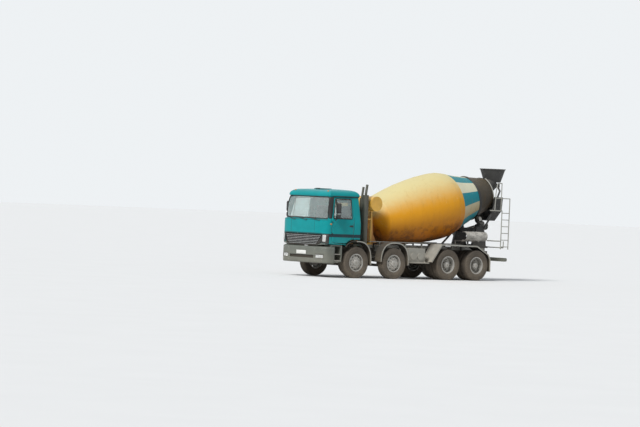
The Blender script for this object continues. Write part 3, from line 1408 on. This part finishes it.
    def trim(self) -> None:
        """Build the side indicators, roof lamps, panel lines and the strip over the grille."""
        foot = FORM.place(np.array([FORM.from_side(1.185, 1.9)[0]]), np.array([1.815]))[0]
        dome = [(0, -0.005), (0.03, -0.005), (0.028, 0.012), (0.016, 0.022), (0, 0.024)]
        lamps = Shape().lathe(dome, tuple(foot), (0.1, 1, 0), 18).mirrored()
        lamps.build("side_indicators", Look.AMBER, "cab")
        dark = Shape()
        self.bead(dark, self.across_front(1.15, 1.948, 40), 0.006, 0.001, closed=False)
        for y in (-0.62, 0.62):
            self.bead(dark, front_loop([(y, 1.5), (y, 1.94)]), 0.004, 0.001, closed=False)
        self.bead(dark, self.across_front(1.02, 1.492, 30), 0.007, 0.002, closed=False)
        dark.build("front_panel_lines", Look.RUBBER, "cab")
        roof = Shape()
        dome = [(0, -0.01), (0.034, -0.01), (0.03, 0.014), (0.016, 0.024), (0, 0.026)]
        for y in (-0.88, 0.88):
            roof.lathe(dome, (1.1, y, 2.925), (0.6, 0, 1), 18)
        roof.build("roof_lamps", Look.AMBER, "cab")

    @staticmethod
    def across_front(half: float, z: float, count: int) -> np.ndarray:
        """Return a level line across the cab's front, in distances round the cab and heights."""
        return front_loop([(y, z) for y in np.linspace(-half, half, count)])


@dataclass
class Front:
    """The grille flap, the bumper with its lamps and plate, and the steps under the doors."""

    slats: int = 6
    slat_low: float = 1.128
    slat_pitch: float = 0.055
    slat_half: float = 0.735
    slat_spread: float = 0.04
    plan_z: float = 1.4
    proud: float = 0.006
    skin_low: float = 0.48
    skin_high: float = 1.05
    step_out: float = 1.196

    def build(self, cab: Cab) -> None:
        """Build the front end on the cab's surface."""
        self.grille(cab)
        self.bumper()
        self.steps()

    def grille(self, cab: Cab) -> None:
        """Build the dark grille panel, its thin bright slats and the ribs behind them."""
        outline = front_loop([(-0.988, 1.44), (-0.95, 1.204), (-0.752, 1.081), (0.752, 1.081),
                              (0.95, 1.204), (0.988, 1.44)])
        panel = cab.panel(Shape(), rounded(outline, 0.02, 4), [], inset=0.03)
        piece = panel.build("grille_panel", Look.BLACK, "front_flap", wall=0.012)
        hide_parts("grille")
        slats, ribs = Shape(), Shape()
        section = ((0.028, -0.004), (0.006, -0.007), (0.0, -0.004), (0.0, 0.003), (0.006, 0.007),
                   (0.028, 0.009))
        for row in range(self.slats):
            wide = self.slat_half + row * self.slat_spread
            loop = cab.across_front(wide, self.slat_low + row * self.slat_pitch, 40)
            rows = [FORM.place(loop[:, 0], loop[:, 1] + rise, lift) for lift, rise in section]
            slats.grid(rows, flip=True)
        for y in np.linspace(-0.72, 0.72, 25):
            loop = front_loop([(y, z) for z in (1.1, 1.25, 1.425)])
            cab.bead(ribs, loop, 0.004, 0.024, closed=False, sides=6)
        frame = cab.bead(Shape(), rounded(outline, 0.03, 4), 0.012, 0.01)
        slats.build("grille_slats", Look.CHROME, "front_flap", wall=0.004)
        ribs.build("grille_ribs", Look.BLACK, "front_flap")
        frame.build("grille_frame", Look.BLACK, "front_flap")
        hinge = Shape()
        for y in (-0.28, 0.28):
            hinge.post(0.009, 0.034, (1.424, y - 0.017, 1.455), (0, 1, 0), 12)
            hinge.box((1.415, 1.432), (y - 0.017, y + 0.017), (1.43, 1.455))
        hinge.build("flap_hinges", Look.STEEL, "front_flap")

    def bumper_point(self, around: np.ndarray, z: np.ndarray, inset: float) -> np.ndarray:
        """Return points of the bumper: the cab's plan at its foot, a little prouder.

        At the top and the foot the face goes in by depth * (1 - (1 - t ** 2) ** 0.5), where t is how far
        into the rounding a point lies.

        Args:
            around: Distance round the plan from the middle of the front.
            z: Height.
            inset: Depth behind the bumper's face.

        Returns:
            The points.
        """
        top = np.clip((z - 1.01) / 0.04, 0, 0.999)
        foot = np.clip((0.53 - z) / 0.05, 0, 0.999)
        curve = 0.04 * (1 - np.sqrt(1 - top ** 2)) + 0.03 * (1 - np.sqrt(1 - foot ** 2))
        plan = FORM.place(around, np.full(np.shape(around), self.plan_z), inset - self.proud + curve)
        return plan * (1, 1, 0) + z[..., None] * (0, 0, 1)

    @staticmethod
    def opening(inner: float, outer: float, low: float, high: float) -> np.ndarray:
        """Return the outline of a rectangular opening with round corners, seen from the front."""
        corners = [(inner, low), (outer, low), (outer, high), (inner, high)]
        return rounded(front_loop(corners), 0.02, 4)

    def bumper(self) -> None:
        """Build the bumper's skin with its lamp pockets and slot, what fills them, and the number plate."""
        end = FORM.from_side(0.985, self.plan_z)[0]
        outline = np.array([(-end, self.skin_low), (end, self.skin_low), (end, self.skin_high),
                            (-end, self.skin_high)])
        pocket = self.opening(0.725, 1.075, 0.645, 0.775)
        holes = [pocket, flipped(pocket), self.opening(-0.635, 0.635, 0.645, 0.738)]
        points, faces = flat_mesh(resampled(outline, 0.02), holes, 0.034)
        skin = Shape().add(self.bumper_point(points[:, 0], points[:, 1], 0.0), faces)
        piece = skin.build("bumper_skin", Look.BUMPER, "chassis", wall=0.012, smooth=50)
        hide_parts("bumper")
        self.bumper_frame(pocket)
        line = np.array([FORM.from_front(y, 0.0)[0] for y in np.linspace(-0.255, 0.255, 9)])
        flat = FORM.place(line, np.full(9, self.plan_z), -0.012 - self.proud) * (1, 1, 0)
        plate = Shape().grid([flat + (0, 0, z) for z in (0.765, 0.825, 0.89)], flip=True)
        plate.build("number_plate", Look.WHITE, "chassis", wall=0.004, bevel=0.001)

    def bumper_frame(self, pocket: np.ndarray) -> None:
        """Build what stands behind the bumper's openings and its brackets, and the bolts on its face.

        Args:
            pocket: The left lamp pocket's outline.
        """
        lens, bowl, rims, dark = Shape(), Shape(), Shape(), Shape()
        for loop in both_sides(pocket):
            points, faces = flat_mesh(loop, [], 0.03)
            lens.add(self.bumper_point(points[:, 0], points[:, 1], 0.012), faces)
            path = resampled(loop, 0.03)
            rims.tube(self.bumper_point(path[:, 0], path[:, 1], 0.002), 0.007, 8, closed=True)
        bulb = [(0, 0.03), (0.01, 0.028), (0.012, 0.01), (0.012, -0.01)]
        for y, size in ((0.8, 0.055), (0.94, 0.055), (1.035, 0.03)):
            place = self.face_point(y, 0.71, 0.075)
            dish = [(0.012, -0.01), (size * 0.5, 0.004), (size * 0.85, 0.024), (size, 0.052)]
            bowl.lathe(dish, place, (1, 0.1, 0), 28).lathe(bulb, place, (1, 0.1, 0), 14)
        bowl.mirrored()
        dark.grid(self.strip(-0.64, 0.64, 24, (0.63, 0.75), 0.055), flip=True)
        for side, _ in SIDES:
            rows = self.strip(0.71, 1.09, 8, (0.63, 0.79), 0.09, side)
            dark.grid(rows, flip=side > 0)
            dark.box((1.1, 1.37), tuple(sorted((side * 0.385, side * 0.415))), (0.81, 0.93))
        for z in (0.66, 0.692, 0.724):
            dark.tube(self.strip(-0.63, 0.63, 24, (z,), 0.03)[0], 0.008, 6)
        lenses = lens.build("headlamp_lenses", Look.LENS, "chassis", wall=0.004)
        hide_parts("headlamps")
        bowl.build("headlamp_bowls", Look.CHROME, "chassis", smooth=60)
        rims.build("headlamp_rims", Look.BLACK, "chassis")
        dark.build("bumper_backs", Look.BLACK, "chassis")
        bolts = Shape()
        head = [(0.014, 0), (0.014, 0.006), (0.01, 0.009), (0, 0.009)]
        for y in (-1.02, -0.7, 0.7, 1.02):
            for z in (0.56, 0.96):
                bolts.lathe(head, self.face_point(y, z, 0.001), (1, 0, 0), 6)
        bolts.build("bumper_bolts", Look.STEEL, "chassis", smooth=20)

    def face_point(self, y: float, z: float, inset: float) -> Point:
        """Return one point of the bumper's face, by its place seen from the front."""
        around = np.array([FORM.from_front(y, 0.0)[0]])
        return tuple(self.bumper_point(around, np.array([z]), inset)[0])

    def strip(self, start: float, end: float, count: int, heights: tuple[float, ...], inset: float,
              side: int = 1) -> np.ndarray:
        """Return rows of points behind the bumper's face, between two places seen from the front."""
        path = np.linspace(FORM.from_front(start, 0)[0], FORM.from_front(end, 0)[0], count) * side
        return np.array([self.bumper_point(path, np.full(count, z), inset) for z in heights])

    def steps(self) -> None:
        """Build tread plates with raised ribs and edge strips in the step wells at each side."""
        treads = Shape()
        for low, start in ((0.592, 0.704), (0.802, 0.724)):
            treads.box((start, 1.106), (0.945, self.step_out), (low, low + 0.004))
            for x in np.arange(start + 0.03, 1.09, 0.045):
                treads.box((x, x + 0.012), (0.96, self.step_out - 0.011), (low + 0.003, low + 0.009))
            edge = (self.step_out - 0.002, self.step_out + 0.007)
            treads.box((start, 1.106), edge, (low - 0.012, low + 0.012))
        treads.mirrored()
        treads.build("step_treads", Look.STEEL, "chassis", bevel=0.001)


@dataclass
class Wheels:
    """Tyres with ribs and shoulder blocks, and the fittings on the rims."""

    radius: float = 0.535
    width: float = 0.3
    rim: float = 0.286
    front_y: float = 1.075
    twin_y: float = 0.915
    twin_pitch: float = 0.34
    pitches: int = 50
    groove: float = 0.013
    nut_circle: float = 0.1675
    nuts: int = 10
    cap_circle: float = 0.05
    cap_bolts: int = 8

    def profile(self, block: bool) -> tuple[np.ndarray, np.ndarray]:
        """Return half of a tyre's section from the bead to the middle, and each point's share in a notch.

        Args:
            block: Whether the tread is in blocks, as on driven wheels.

        Returns:
            Rows of radius and distance from the tyre's middle, and the notch's share at each row.
        """
        half = self.width / 2
        r = self.radius
        section = [(self.rim + up, y) for up, y in (
            (0.0, 0.112), (0.016, 0.116), (0.022, 0.121), (0.03, 0.124), (0.034, 0.13), (0.05, 0.138),
            (0.08, 0.146), (0.11, half - 0.001), (0.113, half), (0.135, half), (0.138, half - 0.002))]
        section += [(r - down, half - inward) for down, inward in (
            (0.075, 0.002), (0.05, 0.004), (0.046, 0.001), (0.03, 0.006), (0.016, 0.012), (0.006, 0.022),
            (0.002, 0.034))]
        sink = [0.0] * 13 + [0.5, 0.8, 1.0, 1.0, 1.0]
        edges = (0.092, 0.08, 0.034, 0.022) if block else (0.096, 0.086, 0.04, 0.03)
        floor = self.groove
        for outer, inner in (edges[:2], edges[2:]):
            for y, drop in ((outer, 0.0), (outer - 0.002, floor), (inner + 0.002, floor), (inner, 0.0)):
                section.append((r - drop - 0.002 * (y / half) ** 2, y))
                sink.append(float(block and drop == 0))
        return np.array([*section, (r, 0.0)]), np.array([*sink, float(block)])

    def tyre(self, block: bool, centre: Point, side: int) -> np.ndarray:
        """Return a tyre's grid of points.

        The section is carried round the axle. Notches repeat at an even pitch: their floor drops by the
        groove's depth times the section's share, and one half of the tread is set half a pitch on.

        Args:
            block: Whether the tread is in blocks.
            centre: The tyre's middle.
            side: 1 on the left, -1 on the right.

        Returns:
            The points, section by angle by three.
        """
        half, sink = self.profile(block)
        section = np.vstack([half, (half * (1, -1))[-2::-1]])
        share = np.concatenate([sink, sink[-2::-1]])
        phase = np.concatenate([np.zeros(len(half)), np.full(len(half) - 1, 0.5)])
        marks = np.array((0.0, 0.28, 0.31, 0.45, 0.48, 0.5, 0.78, 0.81, 0.95, 0.98))
        turn = (np.arange(self.pitches)[:, None] + marks[None]).ravel()
        fraction = (turn[None] + phase[:, None]) % 1.0
        floor = (fraction > 0.3) & (fraction < 0.46)
        radius = section[:, 0][:, None] - self.groove * share[:, None] * floor
        angle = 2 * math.pi * turn / self.pitches
        points = np.zeros((len(section), len(turn), 3))
        points[:, :, 0] = centre[0] + radius * np.cos(angle)[None]
        points[:, :, 1] = centre[1] + side * section[:, 1][:, None]
        points[:, :, 2] = centre[2] + radius * np.sin(angle)[None]
        return points

    def build(self) -> None:
        """Build every wheel's tyres and fittings."""
        for axle, x in enumerate(AXLES):
            rear = axle >= FIRST_DRIVEN
            step = self.twin_pitch / 2
            offsets = (self.twin_y - step, self.twin_y + step) if rear else (self.front_y,)
            for side, word in SIDES:
                name = f"{axle + 1}{word}"
                body = f"wheel_{name}"
                shape = Shape()
                for offset in offsets:
                    points = self.tyre(rear, (x, side * offset, HUB_Z), side)
                    shape.grid(points, wrap_v=True, flip=side > 0)
                    shape.grid(points[[-1, 0]], wrap_v=True, flip=side > 0)
                piece = shape.build(f"tyre_{name}_tread", Look.TYRE, body, smooth=32)
                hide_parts(f"tyre_{name}")
                self.fittings(name, body, x, side, rear)

    def fittings(self, name: str, body: str, x: float, side: int, rear: bool) -> None:
        """Build a wheel's nuts with their studs, hub cap bolts and valve.

        Args:
            name: The wheel's name.
            body: The wheel's body.
            x: The axle's place.
            side: 1 on the left, -1 on the right.
            rear: Whether it is a driven wheel.
        """
        shape = Shape()
        out = (0, side, 0)
        face = self.twin_y + 0.014 if rear else self.front_y + 0.1
        cap = self.twin_y + 0.272 if rear else self.front_y + 0.14
        nut = [(0.022, -0.002), (0.022, 0.004), (0.0165, 0.006), (0.0165, 0.03), (0.013, 0.034),
               (0.01, 0.034), (0.01, 0.046), (0, 0.048)]
        bolt = [(0.008, 0), (0.008, 0.006), (0, 0.007)]
        for profile, count, first, circle, y in ((nut, self.nuts, 0.0, self.nut_circle, face),
                                                 (bolt, self.cap_bolts, 0.5, self.cap_circle, cap - 0.003)):
            for i in range(count):
                angle = 2 * math.pi * (i + first) / count
                place = (x + circle * math.cos(angle), side * y, HUB_Z + circle * math.sin(angle))
                shape.lathe(profile, place, out, 6)
        hub = [(0, 0), (0.03, 0), (0.03, 0.004), (0.022, 0.01), (0, 0.011)]
        shape.lathe(hub, (x, side * cap, HUB_Z), out, 20)
        shape.build(f"wheel_fittings_{name}", Look.STEEL, body, smooth=25)


@dataclass
class Drum:
    """The mixing drum's smooth skin with welded seams, blades at its mouth, and the hatch."""

    tilt: float = 12.2
    seam: Point = (-1.8, 0.0, 1.985)
    segments: int = 192
    base_radius: float = 0.83
    mouth: Span = (5.07, 0.6)
    welds: tuple[float, ...] = (0.012, 1.25, 2.2, 3.0, 3.95, 4.6)
    weld_height: float = 0.005
    weld_width: float = 0.014
    hatch_turn: float = 205.0

    def axis(self) -> np.ndarray:
        """Return the drum's axis towards its mouth."""
        angle = math.radians(self.tilt)
        return np.array((-math.cos(angle), 0.0, math.sin(angle)))

    def radius_at(self, along: Number) -> Number:
        """Return the outside radius along the axis: the CAD sections, rounded where they meet."""
        s, r = np.array([
            (0.0, self.base_radius), (0.4, 0.914), (0.8, 0.998), (1.25, 1.072), (1.75, 1.13),
            (2.2, 1.163), (2.7, 1.175), (3.0, 1.15), (3.3, 1.07), (3.6, 0.96), (3.95, 0.862),
            (4.25, 0.778), (4.6, 0.705), (5.0, 0.61), self.mouth]).T
        end, mouth_radius = self.mouth
        fine = np.linspace(-0.3, 5.4, 1141)
        table = np.interp(fine, s, r)
        table[fine < 0] = self.base_radius + 0.21 * fine[fine < 0]
        table[fine > end] = mouth_radius - 0.2375 * (fine[fine > end] - end)
        window = np.hanning(49)
        return np.interp(along, fine, np.convolve(table, window / window.sum(), "same"))

    def build(self) -> None:
        """Build the drum. A weld stands out by height * exp(-(distance / width) ** 2)."""
        front = [(0.0, -0.29), (0.15, -0.29), (0.25, -0.277), (0.34, -0.26), (0.45, -0.224),
                 (0.56, -0.18), (0.65, -0.13), (0.72, -0.083), (0.775, -0.045), (0.812, -0.018),
                 (0.826, -0.006)]
        along = np.concatenate([np.linspace(0.004, 5.02, 150), [5.04, 5.056, 5.066]])
        radius = self.radius_at(along)
        for weld in self.welds:
            radius = radius + self.weld_height * np.exp(-((along - weld) / self.weld_width) ** 2)
        side = np.column_stack([radius, along])
        lip = [(0.612, 5.07), (0.608, 5.084), (0.598, 5.084), (0.592, 5.07)]
        inner_along = np.linspace(5.04, 3.2, 30)
        inner = np.column_stack([self.radius_at(inner_along) - 0.01, inner_along])
        axis = tuple(self.axis())
        shape = Shape().lathe(np.vstack([front, side, lip, inner]), self.seam, axis, self.segments)
        ring = [(0.76, 4.255), (0.792, 4.255), (0.8, 4.263), (0.8, 4.337), (0.792, 4.345), (0.74, 4.345)]
        shape.lathe(ring, self.seam, axis, self.segments, slot=1)
        cup = [(0, -0.5), (0.08, -0.5), (0.08, -0.34), (0.196, -0.334), (0.2, -0.328), (0.2, -0.289)]
        shape.lathe(cup, self.seam, axis, 64, slot=2)
        piece = shape.build("drum_skin", (Look.DRUM, Look.BLACK, Look.ORANGE), "mixer_drum", smooth=40)
        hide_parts("drum")
        self.blades()
        self.details()

    def local(self, radius: Number, angle: Number, along: Number) -> np.ndarray:
        """Return points from radius, angle from the top towards the left, and distance along the axis."""
        tilt = math.radians(self.tilt)
        up = np.array((math.sin(tilt), 0.0, math.cos(tilt)))
        left = np.array((0.0, 1.0, 0.0))
        radius, angle, along = np.broadcast_arrays(radius, angle, along)
        rise, aside = (radius * np.cos(angle))[..., None], (radius * np.sin(angle))[..., None]
        return np.array(self.seam) + along[..., None] * self.axis() + rise * up + aside * left

    def blades(self) -> None:
        """Build the two blades inside the mouth: strips that stand in from the wall along a helix."""
        shape = Shape()
        t = np.linspace(0, 1, 60)
        along = 5.03 - 1.9 * t
        for start in (0.0, math.pi):
            angle = start + 2 * math.pi * 1.15 * t
            wall = self.radius_at(along) - 0.012
            rows = [self.local(wall - depth, angle, along) for depth in (0.0, 0.16, 0.3)]
            shape.grid(rows)
        shape.build("drum_blades", Look.CRUST, "mixer_drum", wall=0.008)

    def details(self) -> None:
        """Build the access hatch with its bolts, and the front flange's bolts."""
        middle = math.radians(self.hatch_turn)
        around, along = np.linspace(-0.2, 0.2, 12), np.linspace(2.0, 2.42, 8)
        grid_a, grid_s = np.meshgrid(middle + around, along, indexing="ij")
        shape = Shape().grid(self.local(self.radius_at(grid_s) + 0.014, grid_a, grid_s), flip=True)
        hatch = shape.build("drum_hatch", Look.DRUM, "mixer_drum", wall=0.012, bevel=0.002)
        bolts = Shape()
        head = [(0.015, 0), (0.015, 0.01), (0.011, 0.013), (0, 0.013)]
        for a in middle + np.array((-0.18, -0.06, 0.06, 0.18)):
            for s in (2.02, 2.4):
                base = self.local(self.radius_at(s) + 0.013, a, s)
                bolts.lathe(head, tuple(base), tuple(base - self.local(0.0, a, s)), 6)
        head = [(0.012, 0), (0.012, 0.01), (0, 0.012)]
        for a in np.arange(16) * 2 * math.pi / 16:
            bolts.lathe(head, tuple(self.local(0.17, a, -0.335)), tuple(-self.axis()), 6)
        bolts.build("drum_bolts", Look.STEEL, "mixer_drum", smooth=20)


@dataclass
class Edges:
    """Light flanges along the fenders, the lenses at the tail and the hoops beside the drum's mouth."""

    out: Span = (1.24, 1.248)
    arc_half: float = 0.636
    arc_power: float = 1.3
    lip: float = 0.036
    lamp_rear: float = -7.037

    def build(self, drum: Drum) -> None:
        """Build them all."""
        self.front_flanges()
        self.rear_flanges()
        self.tail_lenses()
        self.hoop(drum)

    def tail_lenses(self) -> None:
        """Build the tail lamps' lenses: red outside, amber beside it and clear on the inner end."""
        shape = Shape()
        rear = self.lamp_rear
        for slot, start, end in ((0, 0.965, 1.172), (1, 0.868, 0.961), (2, 0.768, 0.864)):
            shape.box((rear, rear + 0.008), (start, end), (0.723, 0.807), slot)
            for z in (0.744, 0.765, 0.786):
                ridge = (start + 0.008, end - 0.008)
                shape.box((rear - 0.002, rear + 0.001), ridge, (z - 0.002, z + 0.002), slot)
        shape.mirrored()
        shape.build("tail_lenses", (Look.RED, Look.AMBER, Look.LENS), "chassis", bevel=0.0006)

    def front_flanges(self) -> None:
        """Build the front fenders' flanges: arcs x = a cos ** (1 / power), z = b sin ** (1 / power)."""
        shape = Shape()
        for axle, start, rise in ((0, 88.0, 0.738), (1, 2.0, 0.722)):
            turn = np.radians(np.linspace(start, 182.0, 40))
            turned = np.column_stack([np.cos(turn), np.sin(turn)])
            arc = np.sign(turned) * np.abs(turned) ** (1 / self.arc_power)
            hub = np.array((AXLES[axle], HUB_Z))
            far = hub + arc * (self.arc_half, rise + 0.002)
            near = hub + arc * (self.arc_half - self.lip, rise - self.lip)
            shape.prism(np.vstack([far, near[::-1]]), Y_AXIS, *self.out)
        shape.mirrored()
        shape.build("front_fender_flanges", Look.GREY, "chassis", smooth=30)

    def rear_flanges(self) -> None:
        """Build the rear fenders' flanges along their trapezoid, and plates on their sloped fronts."""
        top = HUB_Z + 0.715
        front, back = np.array((AXLES[2], top)), np.array((AXLES[3], top))
        far = np.vstack([front + [(0.812, -0.63), (0.351, 0.002)],
                         back + [(0.02, -0.016), (-0.541, -0.319), (-0.632, -0.49), (-0.642, -0.92)]])
        near = np.vstack([front + [(0.772, -0.646), (0.33, -0.046)],
                          back + [(0.03, -0.064), (-0.5, -0.345), (-0.584, -0.5), (-0.594, -0.92)]])
        shape = Shape().prism(np.vstack([far, near[::-1]]), Y_AXIS, *self.out)
        plate = front + [(0.814, -0.629), (0.353, 0.003), (0.349, 0.0), (0.81, -0.632)]
        shape.prism(plate, Y_AXIS, 0.66, self.out[0])
        shape.mirrored()
        shape.build("rear_fender_flanges", Look.GREY, "chassis", smooth=30)

    @staticmethod
    def hoop(drum: Drum) -> None:
        """Build the tube that stands round the drum's mouth on each side.

        Args:
            drum: The drum, for its axis.
        """
        shape = Shape()
        turn = np.radians(np.linspace(28.0, 100.0, 24))
        shape.tube(drum.local(np.array(0.662), turn, np.array(5.05)), 0.018, 10)
        shape.mirrored()
        shape.build("mouth_hoops", Look.GREY, "chassis")


# Carried-over pieces


NODE_LOOKS: dict[Look, tuple[str, ...]] = {
    Look.GREY: ("subframe", "side_tanks", "ladder"),
    Look.BUMPER: ("cab_steps", "tail_lamps"),
    Look.BLACK: ("front_fenders", "rear_fenders"),
    Look.STACK: ("exhaust_stack",),
    Look.YELLOW: ("water_tank",),
    Look.ORANGE: ("front_pedestal",),
    Look.HOPPER: ("hopper", "collector"),
    Look.CRUST: ("stowed_chute", "chute"),
    Look.SEAT: ("cab_interior",),
    Look.STEEL: ("jack_rod", "roller_l", "roller_r"),
    Look.SILVER: tuple(f"rim_{axle}{word}" for axle in range(1, len(AXLES) + 1) for _, word in SIDES),
}


def dress_nodes(nodes: dict[str, Piece]) -> None:
    """Give every carried-over node its finish. What has none of its own gets the frame's black."""
    looks = {name: look for look, names in NODE_LOOKS.items() for name in names}
    for name, node in nodes.items():
        material = MADE[looks.get(name, Look.FRAME)]
        if not node.data.materials:
            node.data.materials.append(material)
        for slot in node.material_slots:
            slot.material = material


# Stage


@dataclass
class Studio:
    """The floor, the light and a camera with the photo's view."""

    yaw: float = 0.68941
    pitch: float = 0.00606
    roll: float = 0.04347
    focal: float = 2922.0
    image_width: float = 640.0
    aim: Point = (3.835, 0.0, 2.151)
    distance: float = 100.0
    sensor: float = 36.0
    floor_half: float = 260.0
    key_strength: float = 3.2
    key_spread: float = 20.0
    key_turn: Point = (0.77, 0.0, 1.89)

    def build(self) -> None:
        """Build all three."""
        scene = bpy.context.scene
        scene.view_settings.view_transform = "Standard"
        self.floor()
        self.world()
        self.lamps()
        self.camera()

    def camera(self) -> None:
        """Place the camera: its axes are those of the yaw and pitch, turned by the roll."""
        level = math.cos(self.pitch)
        back = Vector((math.sin(self.yaw) * level, math.cos(self.yaw) * level, math.sin(self.pitch)))
        right = (-back).cross(Vector((0, 0, 1))).normalized()
        up = right.cross(-back)
        turned_right = right * math.cos(self.roll) + up * math.sin(self.roll)
        turned_up = up * math.cos(self.roll) - right * math.sin(self.roll)
        data = bpy.data.cameras.new("photo_camera")
        data.sensor_width = self.sensor
        data.lens = self.focal / self.image_width * self.sensor
        data.clip_start = 1.0
        data.clip_end = 900.0
        camera = new_object("photo_camera", data)
        place = Vector(self.aim) + back * self.distance
        columns = (turned_right, turned_up, back, place)
        camera.matrix_world = Matrix((*([column[i] for column in columns] for i in range(3)), (0, 0, 0, 1)))
        bpy.context.scene.camera = camera

    def floor(self) -> None:
        """Lay a wide pale floor."""
        mesh = bpy.data.meshes.new("floor")
        half = self.floor_half
        corners = [(-half, -half, 0), (half, -half, 0), (half, half, 0), (-half, half, 0)]
        mesh.from_pydata(corners, [], [(0, 1, 2, 3)])
        floor = new_object("floor", mesh)
        material, graph = new_material("floor_pale")
        tone = graph.mix(graph.noise(graph.place(), 0.6, 4.0), (0.74, 0.74, 0.73), (0.78, 0.78, 0.77))
        graph.surface({"Base Color": tone, "Roughness": 0.9})
        mesh.materials.append(material)
        floor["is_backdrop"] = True

    @staticmethod
    def world() -> None:
        """Light from all round at a plain level, with a pale background for camera, mirrors and glass."""
        world = bpy.data.worlds.new("studio")
        bpy.context.scene.world = world
        world.use_nodes = True
        world.node_tree.nodes.clear()
        graph = Graph(world.node_tree)
        path = graph.add("ShaderNodeLightPath")
        mirrored = graph.math("MAXIMUM", path.outputs["Is Glossy Ray"], path.outputs["Is Transmission Ray"])
        seen = graph.math("MAXIMUM", path.outputs["Is Camera Ray"], mirrored)
        plain = graph.add("ShaderNodeBackground", {"Color": (0.86, 0.92, 1.0), "Strength": 0.38})
        pale = graph.add("ShaderNodeBackground", {"Color": (0.9, 0.93, 0.95), "Strength": 0.95})
        both = graph.add("ShaderNodeMixShader", {0: seen, 1: plain.outputs[0], 2: pale.outputs[0]})
        graph.add("ShaderNodeOutputWorld", {0: both.outputs[0]})

    def lamps(self) -> None:
        """Hang one soft key lamp ahead, above and to the left of the cab."""
        data = bpy.data.lights.new("key", "SUN")
        data.energy = self.key_strength
        data.angle = math.radians(self.key_spread)
        new_object("key", data).rotation_euler = Euler(self.key_turn)


def note_sizes(sizes: dict[str, list[list[float]]], key: str) -> None:
    """Keep the whole object's box under a name."""
    low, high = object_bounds()
    sizes[key] = [list(low), list(high)]


def main() -> None:
    """Load the frame, build every piece in order and set the stage."""
    logging.basicConfig(level=logging.INFO, format="%(name)s: %(message)s")
    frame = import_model()
    sizes: dict[str, list[list[float]]] = {}
    note_sizes(sizes, "cad")
    effects = Effects()
    for look in Look:
        MADE[look] = look.value.build(effects)
    dress_nodes(frame["nodes"])
    cab = Cab()
    cab.build()
    Front().build(cab)
    Wheels().build()
    drum = Drum()
    drum.build()
    Edges().build(drum)
    Studio().build()
    note_sizes(sizes, "visual")


if __name__ == "__main__":
    main()
